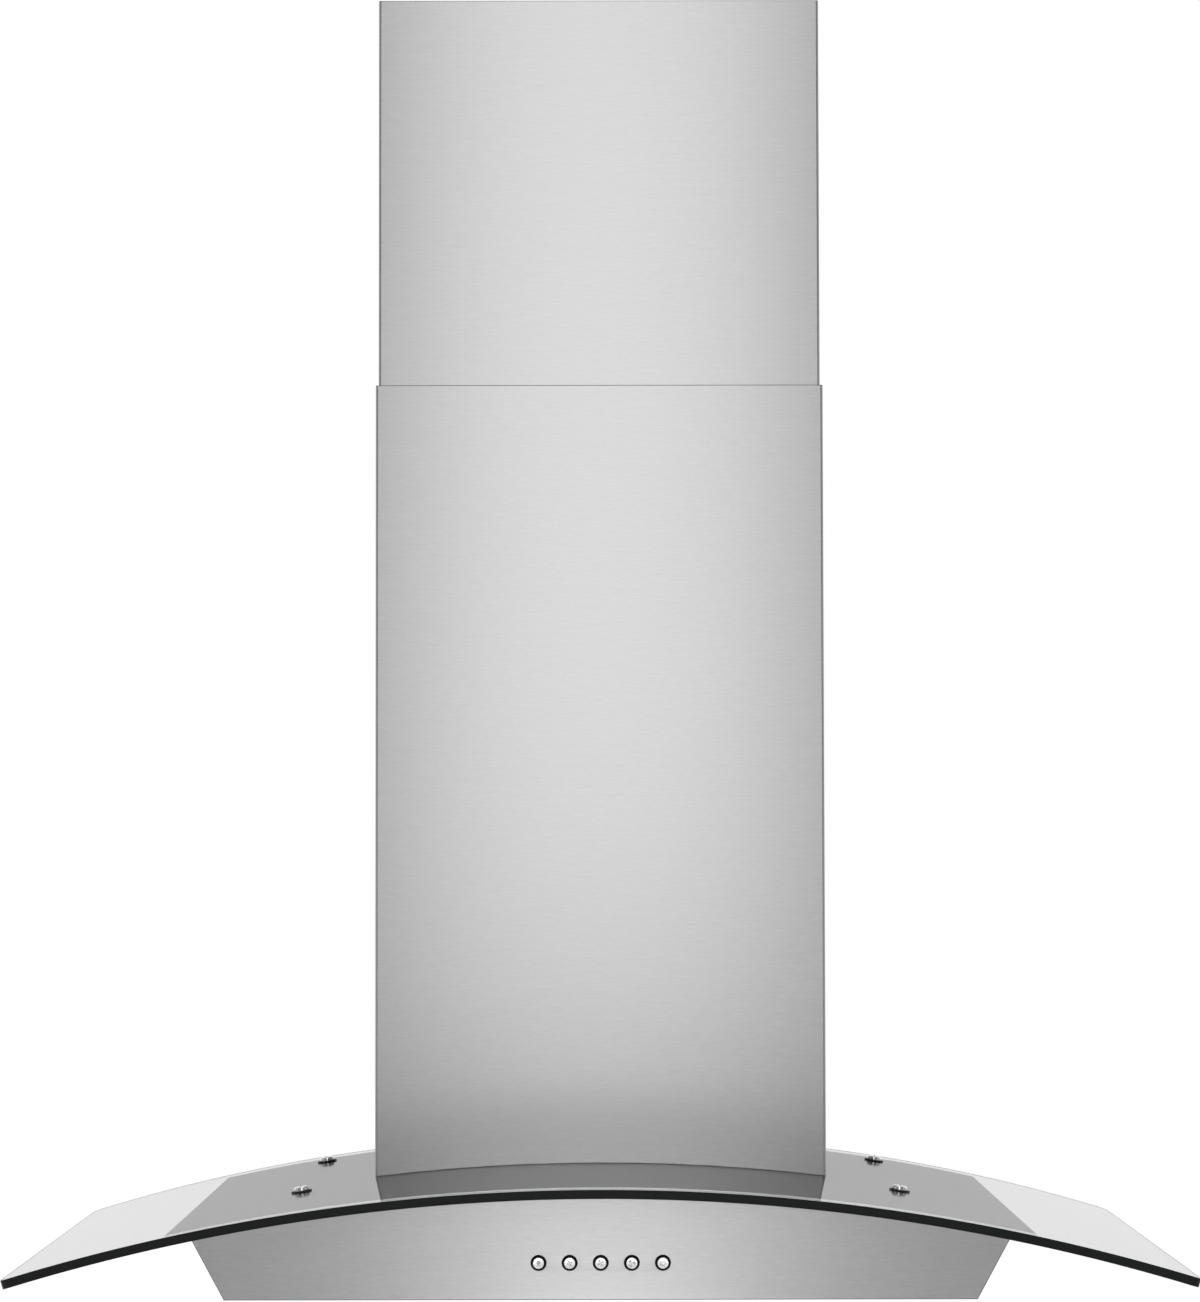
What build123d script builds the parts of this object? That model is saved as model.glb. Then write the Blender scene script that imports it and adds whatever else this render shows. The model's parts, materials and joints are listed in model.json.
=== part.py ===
from build123d import *
import os
from math import asin, cos, degrees, radians, sin, sqrt, tan

# Curved glass range hood, in millimetres. +Z is up, +X is to the viewer's right and -Y is to the
# front. The wall is the plane y = 0, and the origin is the centre of the four wall screws.

# ---- Curved glass: an arched slab, straight from front to back ----
glass_width = 762.0
glass_depth = 488.0
glass_thickness = 6.0
glass_arc_radius = 1302.0  # of the top surface
glass_crown_z = -95.0  # highest line of the top surface
glass_wall_gap = 2.0
glass_front_corner = 5.0
glass_back_corner = 10.0
glass_hole_radius = 4.5
glass_screw_span = 404.0  # from left to right
glass_screw_back = 59.0  # rear pair, in front of the glass's back edge
glass_screw_pitch = 258.0  # from the rear pair to the front pair
notch_corner = 12.0

# ---- Glass screws, seen from the top down ----
screw_radius = 3.0
screw_head_radius = 5.2
screw_head_height = 3.0
screw_head_round = 2.1
screw_slot_width = 1.05
screw_slot_depth = 1.2
washer_radius = 7.0
washer_thickness = 0.8
pad_thickness = 1.3  # between the glass and the top plate
pad_slack = 0.05  # the flat pads' clearance to the curved faces
nut_radius = 5.6
nut_height = 5.0
screw_tail = 2.0  # below the nut

# ---- Body ----
sheet = 1.0
body_depth = 450.0
body_height = 74.0  # from the bottom edge to the glass crown
body_bottom_width = 484.8
side_lean = 28.6  # degrees, the sides widen upwards
plate_width = 559.0
plate_lip = 1.5  # in front of the front panel
bottom_flange = 12.0
seam = 0.1  # between sheets that meet

# ---- Wall fixing: the back panel stands up inside the chimney ----
upstand_top = 85.0
upstand_clearance = 5.0
wall_screw_edge = 13.0
wall_screw_height = 120.0
wall_hole_radius = 4.0

# ---- Chimneys ----
chimney_width = 309.6
chimney_depth = 276.5
chimney_flange = 12.0
chimney_wall_gap = 1.0
chimney_bend = 1.8
chimney_on_glass = 0.3
lower_chimney_height = 536.0  # above the glass crown
chimney_clearance = 0.9
upper_chimney_show = 269.0  # above the lower chimney
upper_chimney_length = 480.0
vent_slots = 7
vent_slot_width = 90.0
vent_slot_height = 4.0
vent_slot_pitch = 9.0
vent_slot_round = 1.95
vent_from_top = 62.0
chimney_screw_drop = 25.0  # lower chimney's screws, above the glass crown
ear_height = 30.0
chimney_screw_radius = 2.0
chimney_screw_head = 3.8
chimney_screw_head_height = 2.0
chimney_screw_round = 1.4
chimney_screw_length = 8.0

# ---- Bracket that carries the upper chimney ----
bracket_sheet = 1.5
bracket_height = 36.0
bracket_arm = 58.0
bracket_from_top = 10.0
bracket_hole_radius = 3.0
bracket_hole_span = 200.0

# ---- Push buttons ----
button_count = 5
button_pitch = 20.0
button_height = 23.7  # centres above the body's bottom edge
button_radius = 4.0
button_hole_radius = 4.7
button_show = 3.0
button_round = 0.6
button_travel = 3.0
button_flange_radius = 5.4
button_flange = 1.4
button_stem_radius = 2.5
button_gap = 0.3
housing_depth = 24.0
housing_height = 22.0
housing_end = 12.0
housing_floor = 9.5
guide_clearance = 0.1
spring_wire = 0.9

# ---- Bottom pan, filters and lamps ----
pan_divider = 16.0
pan_side_margin = 14.0
pan_rear_margin = 62.0
pan_front_margin = 82.0
filter_clearance = 2.0
filter_height = 9.0
filter_rail = 14.0
mesh_thickness = 3.0
mesh_seat = 6.0  # how far the mesh reaches into the rails
mesh_slack = 0.1
mesh_pitch = 14.0
mesh_hole = 6.0
mesh_roof = 1.4  # rail above the mesh
tab_width = 14.0
tab_thickness = 1.2
tab_reach = 7.0
tab_spread = 140.0
tab_lift = 0.2
latch_width = 18.0
latch_thickness = 1.5
latch_reach = 5.0  # past the edge of the pan's opening
latch_travel = 5.0
latch_length = 45.0
latch_slack = 0.3
latch_spring_wire = 0.4
latch_plate_width = 48.0
latch_plate_length = 46.0
knob_width = 12.0
knob_length = 8.0
knob_back = 34.0  # from the tip of the latch to the knob's middle
lamp_spacing = 300.0
lamp_hole_radius = 28.0
lamp_bezel_radius = 32.0
lamp_lens_radius = 25.0
lamp_lens_thickness = 2.0
lamp_can_height = 20.0
lamp_wall = 1.5
lamp_fins_radius = 14.0
lamp_fins_height = 6.0
rivet_radius = 1.6
rivet_head_radius = 3.2
rivet_head = 0.9
rivet_tail_radius = 2.5
rivet_tail = 1.5
rivet_rows = 3
rivet_end = 30.0

# ---- Control box, behind the right filter ----
control_length = 112.0
control_depth = 46.0
control_height = 28.0
control_wall = 1.5
control_side_gap = 12.0  # to the body's bottom edge
control_back_gap = 6.0
board_thickness = 1.6
board_edge = 4.5
standoff_height = 7.0
standoff_radius = 2.5
terminal_length = 30.0
terminal_depth = 16.0
terminal_height = 10.0
terminal_ways = 3
terminal_way_radius = 2.1
relay_count = 3
relay_pitch = 18.0
relay_width = 15.0
relay_depth = 12.0
relay_height = 9.0
lead_hole_radius = 4.0

# ---- Fan, motor and scroll: all on one axis along X ----
impeller_radius = 75.0
impeller_width = 92.0
blade_count = 36
blade_depth = 13.0
blade_thickness = 1.0
blade_turn = 30.0  # degrees, from the radius
blade_slack = 0.2
impeller_plate = 2.0
impeller_ring = 3.0
hub_radius = 14.0
hub_length = 24.0
shaft_radius = 4.0
shaft_clearance = 0.05
shaft_tail = 4.0  # past the motor and past the hub
motor_radius = 42.0
motor_length = 80.0
motor_to_hub = 4.0
motor_wall = 2.0
bearing_radius = 11.0
bearing_width = 7.0
rotor_radius = 22.0
rotor_length = 40.0
air_gap = 0.5
stator_length = 44.0
scroll_wall = 2.5
scroll_start = 83.0  # radius at the top
scroll_step = 6.0  # growth of the radius each quarter turn
scroll_clearance = 2.0  # beside the impeller
scroll_joint = 0.1
tongue_turn = 25.0  # degrees from the top towards the outlet
scroll_back_gap = 18.0
inlet_radius = 63.0
inlet_lip = 3.0
inlet_room = 58.5  # between the scroll and the motor box
bracket_ring = 5.0
bracket_ring_width = 8.0
arm_width = 10.0
arm_thickness = 3.0
arm_count = 3
arm_reach = 72.0  # radius of the rubber bushes
bush_radius = 6.0
bush_length = 6.0
capacitor_radius = 14.0
capacitor_length = 60.0
capacitor_gap = 0.3

# ---- Motor box and duct collar ----
motor_box_back_gap = 2.0
motor_box_front = 249.0  # from the wall
motor_box_top = 95.0
motor_box_flange = 11.0
flange_lift = 0.1
flange_to_glass = 2.0
plate_hole_edge = 10.0
outlet_clearance = 1.0
box_screw_radius = 2.0
box_screw_head = 3.6
box_screw_head_height = 2.2
box_screw_round = 1.3
box_screw_length = 8.0
duct_radius = 75.0  # outside of the collar, for 150 mm duct
duct_wall = 2.0
collar_height = 70.0
collar_flange = 11.0
collar_flange_thickness = 2.0
collar_centre = 160.0  # from the wall
collar_screw_count = 4
flap_height = 30.0  # hinge above the motor box
flap_thickness = 1.0
flap_clearance = 0.6
flap_start = 3.4  # straight edge of a flap, from the hinge's axis
pin_radius = 1.5
pin_clearance = 0.06
pin_end_gap = 1.0
knuckle_radius = 3.0
knuckle_length = 10.0
knuckle_gap = 0.5
knuckle_place = 30.0
pin_boss = 8.0
pin_boss_length = 7.0
flap_corner = 6.2
gland_x = 88.0
gland_y = -35.0
gland_bore_radius = 4.5
gland_thread_radius = 8.0
gland_body_radius = 11.0
gland_body_height = 6.0
gland_cap_radius = 9.5
gland_cap_height = 14.0
gland_cap_round = 3.0
gland_tail = 7.0
gland_nut_height = 4.0

# ---- Worked out from the sizes above ----
front_y = -body_depth
bottom_z = glass_crown_z - body_height
arc_centre_z = glass_crown_z - glass_arc_radius
plate_depth_below = glass_thickness + pad_thickness + 2 * pad_slack
panel_depth_below = plate_depth_below + sheet + seam
lean = tan(radians(side_lean))
side_sheet = sheet / cos(radians(side_lean))
bottom_half = body_bottom_width / 2
glass_front_y = -glass_wall_gap - glass_depth
glass_screw_ys = [
    -glass_wall_gap - glass_screw_back - row * glass_screw_pitch for row in range(2)
]
lower_half = chimney_width / 2
upper_half = lower_half - sheet - chimney_clearance
chimney_front_y = -chimney_wall_gap - chimney_depth
upper_front_y = chimney_front_y + sheet + chimney_clearance
upper_back_y = -chimney_wall_gap - sheet - chimney_clearance
upper_top_z = glass_crown_z + lower_chimney_height + upper_chimney_show
upstand_half = upper_half - chimney_flange - upstand_clearance
wall_screw_x = upstand_half - wall_screw_edge
chimney_screw_x = lower_half - chimney_flange / 2 - sheet
chimney_screw_z = glass_crown_z + chimney_screw_drop
bracket_z = upper_top_z - bracket_from_top - bracket_height / 2
button_z = bottom_z + button_height
button_xs = [(i - (button_count - 1) / 2) * button_pitch for i in range(button_count)]
housing_front_y = front_y + sheet + seam
housing_floor_y = housing_front_y + housing_depth - housing_floor
button_flange_y = front_y + sheet + button_gap
pan_z = bottom_z + sheet
pan_top_z = pan_z + sheet
opening_x = (pan_divider / 2, bottom_half - pan_side_margin)
opening_y = (front_y + pan_front_margin, -pan_rear_margin)
filter_x = (opening_x[0] + filter_clearance, opening_x[1] - filter_clearance)
filter_y = (opening_y[0] + filter_clearance, opening_y[1] - filter_clearance)
filter_middle = (filter_x[0] + filter_x[1]) / 2
mesh_top_z = pan_z + filter_height - mesh_roof
latch_z = pan_z + latch_thickness + latch_slack
latch_tip_y = opening_y[0] - latch_reach
knob_y = latch_tip_y + knob_back
lamp_y = (front_y + bottom_flange + opening_y[0]) / 2
control_x = bottom_half - control_side_gap - control_length
impeller_half = impeller_width / 2
scroll_half = impeller_half + scroll_clearance
scroll_out = scroll_half + scroll_wall
motor_box_half = scroll_out + inlet_room
fan_y = -scroll_back_gap - motor_box_back_gap - sheet - scroll_start - scroll_wall
fan_z = 0.0
outlet_front_y = fan_y - scroll_start - 3 * scroll_step
tongue_y = fan_y - scroll_start * sin(radians(tongue_turn))
tongue_z = fan_z + scroll_start * cos(radians(tongue_turn))
scroll_top_z = motor_box_top - sheet - capacitor_gap
hub_start = -hub_length / 2 + impeller_plate
motor_end = hub_start - motor_to_hub
motor_start = motor_end - motor_length
arm_x = -scroll_out - bush_length
notch_half = motor_box_half + motor_box_flange + flange_to_glass
notch_front_y = -motor_box_front - motor_box_flange - flange_to_glass
flap_z = motor_box_top + flap_height
flap_radius = duct_radius - duct_wall - flap_clearance
pin_half = duct_radius - duct_wall - pin_end_gap


# ---- Shapes that repeat ----
def block(x_range, y_range, z_range):
    """Box between two corners."""
    ranges = (x_range, y_range, z_range)
    sizes = [high - low for low, high in ranges]
    middles = [(high + low) / 2 for low, high in ranges]
    return Pos(*middles) * Box(*sizes)


def rod(axis, radius, start, end, first, second):
    """Cylinder along an axis; first and second are its other two coordinates, in X, Y, Z order."""
    middle = (start + end) / 2
    turns = {"X": Rot(0, 90, 0), "Y": Rot(90, 0, 0), "Z": Rot(0, 0, 0)}
    places = {
        "X": (middle, first, second),
        "Y": (first, middle, second),
        "Z": (first, second, middle),
    }
    return Pos(*places[axis]) * turns[axis] * Cylinder(radius, end - start)


def ring(axis, outer, inner, start, end, first, second):
    """Tube along an axis."""
    whole = rod(axis, outer, start, end, first, second)
    return whole - rod(axis, inner, start, end, first, second)


def prism_y(points, start, end):
    """Outline of (x, z) points, extruded along Y."""
    outline = Polyline(*[(x, start, z) for x, z in points], close=True)
    return extrude(make_face(outline), amount=end - start, dir=(0, 1, 0))


def prism_z(points, start, end):
    """Outline of (x, y) points, extruded along Z."""
    outline = Polyline(*[(x, y, start) for x, y in points], close=True)
    return extrude(make_face(outline), amount=end - start, dir=(0, 0, 1))


def flipped(part):
    """The same piece on the other side of the middle plane."""
    return mirror(part, Plane.YZ)


def arc_z(x, below=0.0):
    """Height at x of the surface that lies a given depth below the glass's top surface."""
    return arc_centre_z + sqrt((glass_arc_radius - below) ** 2 - x**2)


def arc_body(below, front, back):
    """Everything under the surface that lies a given depth below the glass's top surface."""
    return rod("Y", glass_arc_radius - below, front, back, 0, arc_centre_z)


def on_arc(x, y, below=0.0):
    """Place on a curved surface, with its Z along the surface's normal."""
    tilt = degrees(asin(x / (glass_arc_radius - below)))
    return Pos(x, y, arc_z(x, below)) * Rot(0, tilt, 0)


def glass_screw_places():
    """The four screw places on the glass's top surface."""
    half = glass_screw_span / 2
    return [on_arc(x, y) for x in (-half, half) for y in glass_screw_ys]


def on_screws(make):
    """A group with one copy of a piece at each glass screw."""
    return Compound(children=[place * make() for place in glass_screw_places()])


# ---- Glass canopy and its screws ----
def glass_canopy():
    back_y = -glass_wall_gap
    shell = arc_body(0, glass_front_y, back_y)
    shell -= arc_body(glass_thickness, glass_front_y, back_y)
    tip = glass_width / 2
    reach = 1.1
    rise = (arc_z(tip) - arc_centre_z) * reach
    sector = [
        (0, arc_centre_z),
        (tip * reach, arc_centre_z + rise),
        (-tip * reach, arc_centre_z + rise),
    ]
    shell &= prism_y(sector, glass_front_y, back_y)
    corners = [
        edge
        for edge in shell.edges().filter_by(GeomType.LINE)
        if abs(edge.length - glass_thickness) < seam
    ]
    front = [edge for edge in corners if edge.center().Y < glass_front_y / 2]
    shell = fillet(front, glass_front_corner)
    back = [
        edge
        for edge in shell.edges().filter_by(GeomType.LINE)
        if abs(edge.length - glass_thickness) < seam
        and edge.center().Y > back_y - seam
    ]
    shell = fillet(back, glass_back_corner)
    notch_z = (arc_z(notch_half) - 2 * glass_thickness, glass_crown_z + glass_thickness)
    notch = block((-notch_half, notch_half), (notch_front_y, 0), notch_z)
    upright = notch.edges().filter_by(Axis.Z).sort_by(Axis.Y)[:2]
    shell -= fillet(upright, notch_corner)
    for place in glass_screw_places():
        shell -= place * Cylinder(glass_hole_radius, 4 * glass_thickness)
    return shell


def glass_screw():
    head = Pos(0, 0, washer_thickness) * Cylinder(
        screw_head_radius, screw_head_height, align=(Align.CENTER, Align.CENTER, Align.MIN)
    )
    rim = head.edges().group_by(Axis.Z)[-1]
    head = fillet(rim, screw_head_round)
    for turn in (0, 90):
        cross = Box(screw_radius * 2, screw_slot_width, screw_slot_depth * 2)
        head -= Pos(0, 0, washer_thickness + screw_head_height) * Rot(0, 0, turn) * cross
    length = washer_thickness + plate_depth_below + sheet + nut_height + screw_tail
    shank = Pos(0, 0, washer_thickness) * Cylinder(
        screw_radius, length, align=(Align.CENTER, Align.CENTER, Align.MAX)
    )
    return head + shank


def disc(radius, thickness, top, hole):
    """Flat round piece around a screw, hanging down from a height."""
    down = (Align.CENTER, Align.CENTER, Align.MAX)
    return Pos(0, 0, top) * (Cylinder(radius, thickness, align=down) - Cylinder(hole, thickness, align=down))


def glass_washer():
    return disc(washer_radius, washer_thickness, washer_thickness, screw_radius + guide_clearance)


def glass_pad():
    top = -glass_thickness - pad_slack
    return disc(washer_radius, pad_thickness, top, screw_radius + guide_clearance)


def glass_nut():
    hexagon = extrude(RegularPolygon(nut_radius, 6), nut_height)
    hexagon -= Cylinder(screw_radius + shaft_clearance, 3 * nut_height)
    return Pos(0, 0, -plate_depth_below - sheet - seam - nut_height) * hexagon


# ---- Body ----
def top_plate():
    front = front_y - plate_lip
    plate = arc_body(plate_depth_below, front, -sheet)
    plate -= arc_body(plate_depth_below + sheet, front, -sheet)
    half = plate_width / 2
    z_range = (arc_z(half, plate_depth_below + sheet) - sheet, glass_crown_z)
    plate &= block((-half, half), (front, -sheet), z_range)
    hole_x = motor_box_half - plate_hole_edge
    hole_y = (-motor_box_front + plate_hole_edge, -motor_box_back_gap - plate_hole_edge)
    plate -= block((-hole_x, hole_x), hole_y, z_range)
    for place in glass_screw_places():
        plate -= place * Cylinder(screw_radius + guide_clearance, 6 * glass_thickness)
    for place in box_screw_places():
        plate -= place * Cylinder(box_screw_radius + guide_clearance, 3 * box_screw_length)
    return plate


def body_section(inset, low, high):
    """Outline of the body, seen from the front, between two heights above its bottom edge."""
    narrow = bottom_half + lean * low - inset
    wide = bottom_half + lean * high - inset
    return [
        (-narrow, bottom_z + low),
        (narrow, bottom_z + low),
        (wide, bottom_z + high),
        (-wide, bottom_z + high),
    ]


def front_panel():
    panel = prism_y(body_section(0, 0, body_height), front_y, front_y + sheet)
    panel &= arc_body(panel_depth_below, front_y, front_y + sheet)
    flange_half = bottom_half - bottom_flange - seam
    flange_y = (front_y, front_y + bottom_flange)
    panel += block((-flange_half, flange_half), flange_y, (bottom_z, bottom_z + sheet))
    for x in button_xs:
        panel -= rod("Y", button_hole_radius, front_y - sheet, front_y + 2 * sheet, x, button_z)
    return panel


def side_panel():
    """The right one. Its bottom edge turns inwards under the pan."""
    outline = [
        (bottom_half - bottom_flange, bottom_z),
        (bottom_half, bottom_z),
        (bottom_half + lean * body_height, bottom_z + body_height),
        (bottom_half + lean * body_height - side_sheet, bottom_z + body_height),
        (bottom_half + lean * sheet - side_sheet, bottom_z + sheet),
        (bottom_half - bottom_flange, bottom_z + sheet),
    ]
    front = front_y + sheet + seam
    back = -sheet - seam
    panel = prism_y(outline, front, back)
    panel &= arc_body(panel_depth_below, front, back)
    for y in rivet_ys():
        panel -= rod("Z", rivet_radius + shaft_clearance, bottom_z - sheet, pan_top_z, rivet_x(), y)
    return panel


def back_panel():
    panel = prism_y(body_section(0, 0, body_height), -sheet, 0)
    panel &= arc_body(panel_depth_below, -sheet, 0)
    panel += block((-upstand_half, upstand_half), (-sheet, 0), (bottom_z + body_height / 2, upstand_top))
    ear_z = (chimney_screw_z - ear_height / 2, chimney_screw_z + ear_height / 2)
    ear_half = lower_half - 2 * sheet
    panel += block((-ear_half, ear_half), (-sheet, 0), ear_z)
    for x in (-wall_screw_x, wall_screw_x):
        for z in (-wall_screw_height / 2, wall_screw_height / 2):
            panel -= rod("Y", wall_hole_radius, -2 * sheet, sheet, x, z)
    for x in (-chimney_screw_x, chimney_screw_x):
        panel -= rod("Y", chimney_screw_radius + guide_clearance, -2 * sheet, sheet, x, chimney_screw_z)
    return panel


def rivet_x():
    return bottom_half - bottom_flange / 2


def rivet_ys():
    span = body_depth - 2 * rivet_end
    return [-rivet_end - i * span / (rivet_rows - 1) for i in range(rivet_rows)]


def bottom_pan():
    half = bottom_half + lean * sheet - side_sheet - seam
    pan = block((-half, half), (front_y + sheet + seam, -sheet - seam), (pan_z, pan_top_z))
    notch_x = latch_width / 2 + 2 * latch_slack
    notch_y = (latch_tip_y - 2 * latch_slack, opening_y[1])
    hole = block(opening_x, opening_y, (bottom_z, pan_top_z + sheet))
    hole += block(
        (filter_middle - notch_x, filter_middle + notch_x), notch_y, (bottom_z, pan_top_z + sheet)
    )
    pan -= hole + flipped(hole)
    for x in (-lamp_spacing / 2, lamp_spacing / 2):
        pan -= rod("Z", lamp_hole_radius + guide_clearance, bottom_z, pan_top_z + sheet, x, lamp_y)
    for x in (-rivet_x(), rivet_x()):
        for y in rivet_ys():
            pan -= rod("Z", rivet_radius + shaft_clearance, bottom_z, pan_top_z + sheet, x, y)
    return pan


def pan_rivets():
    rivets = []
    for x in (-rivet_x(), rivet_x()):
        for y in rivet_ys():
            rivet = rod("Z", rivet_head_radius, bottom_z - rivet_head, bottom_z, x, y)
            rivet += rod("Z", rivet_radius, bottom_z - rivet_head, pan_top_z, x, y)
            rivet += rod("Z", rivet_tail_radius, pan_top_z, pan_top_z + rivet_tail, x, y)
            rivets.append(rivet)
    return Compound(children=rivets)


# ---- Chimneys ----
def chimney(half, front, back, low, high):
    """Sheet folded round three sides, with a narrow flange each side at the wall."""
    inner = half - sheet
    lip = half - chimney_flange
    right = [(half, front), (half, back), (lip, back), (lip, back - sheet), (inner, back - sheet)]
    right.append((inner, front + sheet))
    left = [(-x, y) for x, y in reversed(right)]
    shell = prism_z(right + left, low, high)
    folds = shell.edges().filter_by(Axis.Z)
    outer_folds = [e for e in folds if abs(e.center().Y - front) < seam]
    shell = fillet(outer_folds, chimney_bend)
    folds = shell.edges().filter_by(Axis.Z)
    inner_folds = [
        e
        for e in folds
        if abs(e.center().Y - front - sheet) < seam and abs(abs(e.center().X) - inner) < seam
    ]
    return fillet(inner_folds, chimney_bend - sheet)


def lower_chimney():
    low = arc_z(lower_half) - glass_thickness
    top = glass_crown_z + lower_chimney_height
    shell = chimney(lower_half, chimney_front_y, -chimney_wall_gap, low, top)
    shell -= arc_body(-chimney_on_glass, chimney_front_y - sheet, 0)
    for x in (-chimney_screw_x, chimney_screw_x):
        hole = rod("Y", chimney_screw_radius + guide_clearance, -3 * sheet, 0, x, chimney_screw_z)
        shell -= hole
    return shell


def upper_chimney():
    low = upper_top_z - upper_chimney_length
    shell = chimney(upper_half, upper_front_y, upper_back_y, low, upper_top_z)
    middle = (upper_front_y + upper_back_y) / 2
    slot_y = (middle - vent_slot_width / 2, middle + vent_slot_width / 2)
    for i in range(vent_slots):
        z = upper_top_z - vent_from_top - i * vent_slot_pitch
        slot = block((-lower_half, lower_half), slot_y, (z - vent_slot_height, z))
        ends = slot.edges().filter_by(Axis.X)
        shell -= fillet(ends, vent_slot_round)
    radius = chimney_screw_radius + guide_clearance
    for x in (-upper_half, upper_half):
        shell -= rod("X", radius, x - 3 * sheet, x + 3 * sheet, -bracket_arm / 2, bracket_z)
    return shell


def side_screws(half, y, z):
    """A pair of pan-head screws through the two sides of a chimney, one each side."""
    head = rod("X", chimney_screw_head, half, half + chimney_screw_head_height, y, z)
    rim = head.edges().group_by(Axis.X)[-1]
    head = fillet(rim, chimney_screw_round)
    head += rod("X", chimney_screw_radius, half - chimney_screw_length, half, y, z)
    return Compound(children=[head, flipped(head)])


def lower_chimney_screws():
    screws = []
    for x in (-chimney_screw_x, chimney_screw_x):
        flange_y = -chimney_wall_gap - sheet
        head_y = flange_y - chimney_screw_head_height
        screw = rod("Y", chimney_screw_head, head_y, flange_y, x, chimney_screw_z)
        screw += rod("Y", chimney_screw_radius, flange_y, -seam, x, chimney_screw_z)
        screws.append(screw)
    return Compound(children=screws)


def chimney_bracket():
    """Strip on the wall, joggled round the upper chimney's flanges, with an arm along each side."""
    leaf = upper_half - chimney_flange - 2 * bracket_sheet
    arm = upper_half - sheet - seam
    jog = upper_back_y - sheet - 2 * bracket_sheet
    right = [
        (leaf, 0),
        (leaf, jog + bracket_sheet),
        (arm, jog + bracket_sheet),
        (arm, -bracket_arm),
        (arm - bracket_sheet, -bracket_arm),
        (arm - bracket_sheet, jog),
        (leaf - bracket_sheet, jog),
        (leaf - bracket_sheet, -bracket_sheet),
    ]
    left = [(-x, y) for x, y in reversed(right)]
    low = bracket_z - bracket_height / 2
    strip = prism_z(right + left, low, low + bracket_height)
    for x in (-bracket_hole_span / 2, bracket_hole_span / 2):
        strip -= rod("Y", bracket_hole_radius, -2 * bracket_sheet, bracket_sheet, x, bracket_z)
    radius = chimney_screw_radius + guide_clearance
    for x in (-arm, arm):
        strip -= rod("X", radius, x - 3 * sheet, x + 3 * sheet, -bracket_arm / 2, bracket_z)
    return strip


# ---- Push buttons ----
def push_button(x):
    flange_back = button_flange_y + button_flange
    cap = rod("Y", button_radius, front_y - button_show, flange_back, x, button_z)
    rim = cap.edges().group_by(Axis.Y)[0]
    cap = fillet(rim, button_round)
    cap += rod("Y", button_flange_radius, button_flange_y, flange_back, x, button_z)
    stem_end = housing_floor_y + housing_floor - button_travel - 2 * button_gap
    cap += rod("Y", button_stem_radius, button_flange_y, stem_end, x, button_z)
    return cap


def switch_housing():
    half = (button_count - 1) / 2 * button_pitch + housing_end
    y_range = (housing_front_y, housing_front_y + housing_depth)
    z_range = (button_z - housing_height / 2, button_z + housing_height / 2)
    body = block((-half, half), y_range, z_range)
    body = fillet(body.edges().filter_by(Axis.Y), 2 * sheet)
    for x in button_xs:
        chamber = button_flange_radius + 2 * guide_clearance
        body -= rod("Y", chamber, housing_front_y - sheet, housing_floor_y, x, button_z)
        guide = button_stem_radius + guide_clearance
        body -= rod("Y", guide, housing_front_y, y_range[1] + sheet, x, button_z)
    return body


def button_springs():
    inner = button_stem_radius + 4 * guide_clearance
    start = button_flange_y + button_flange + seam
    end = housing_floor_y - seam
    return Compound(
        children=[ring("Y", inner + spring_wire, inner, start, end, x, button_z) for x in button_xs]
    )


# ---- Grease filters ----
def filter_frame():
    """The right one: channel rails, two rear tabs, and the plate that guides the latch."""
    z_range = (pan_z, pan_z + filter_height)
    outer = block(filter_x, filter_y, z_range)
    inner_x = (filter_x[0] + filter_rail, filter_x[1] - filter_rail)
    inner_y = (filter_y[0] + filter_rail, filter_y[1] - filter_rail)
    frame = outer - block(inner_x, inner_y, z_range)
    seat = mesh_seat + mesh_slack
    groove_z = (mesh_top_z - mesh_thickness - 2 * mesh_slack, mesh_top_z)
    groove_x = (inner_x[0] - seat, inner_x[1] + seat)
    groove_y = (inner_y[0] - seat, inner_y[1] + seat)
    frame -= block(groove_x, groove_y, groove_z)
    tab_z = (pan_top_z + tab_lift, pan_top_z + tab_lift + tab_thickness)
    for x in (filter_middle - tab_spread / 2, filter_middle + tab_spread / 2):
        tab_y = (filter_y[1] - filter_clearance, opening_y[1] + tab_reach)
        frame += block((x - tab_width / 2, x + tab_width / 2), tab_y, tab_z)
    plate_x = (filter_middle - latch_plate_width / 2, filter_middle + latch_plate_width / 2)
    plate_y = (filter_y[0], filter_y[0] + latch_plate_length + filter_rail)
    frame += block(plate_x, plate_y, (pan_z, pan_z + latch_thickness))
    slide_x = latch_width / 2 + latch_slack
    slide_y = (filter_y[0] - sheet, inner_y[0] + sheet)
    slide_z = (pan_z + latch_thickness, latch_z + latch_thickness + latch_slack)
    frame -= block((filter_middle - slide_x, filter_middle + slide_x), slide_y, slide_z)
    knob_x = knob_width / 2 + latch_slack
    knob_range = (
        knob_y - knob_length / 2 - 2 * latch_slack,
        knob_y + knob_length / 2 + latch_travel + 2 * latch_slack,
    )
    frame -= block((filter_middle - knob_x, filter_middle + knob_x), knob_range, (bottom_z, latch_z))
    stop_x = (filter_middle - knob_width / 2, filter_middle + knob_width / 2)
    stop_y = (plate_y[1] - 2 * sheet, plate_y[1])
    frame += block(stop_x, stop_y, (pan_z, latch_z + latch_thickness))
    return frame


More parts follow.
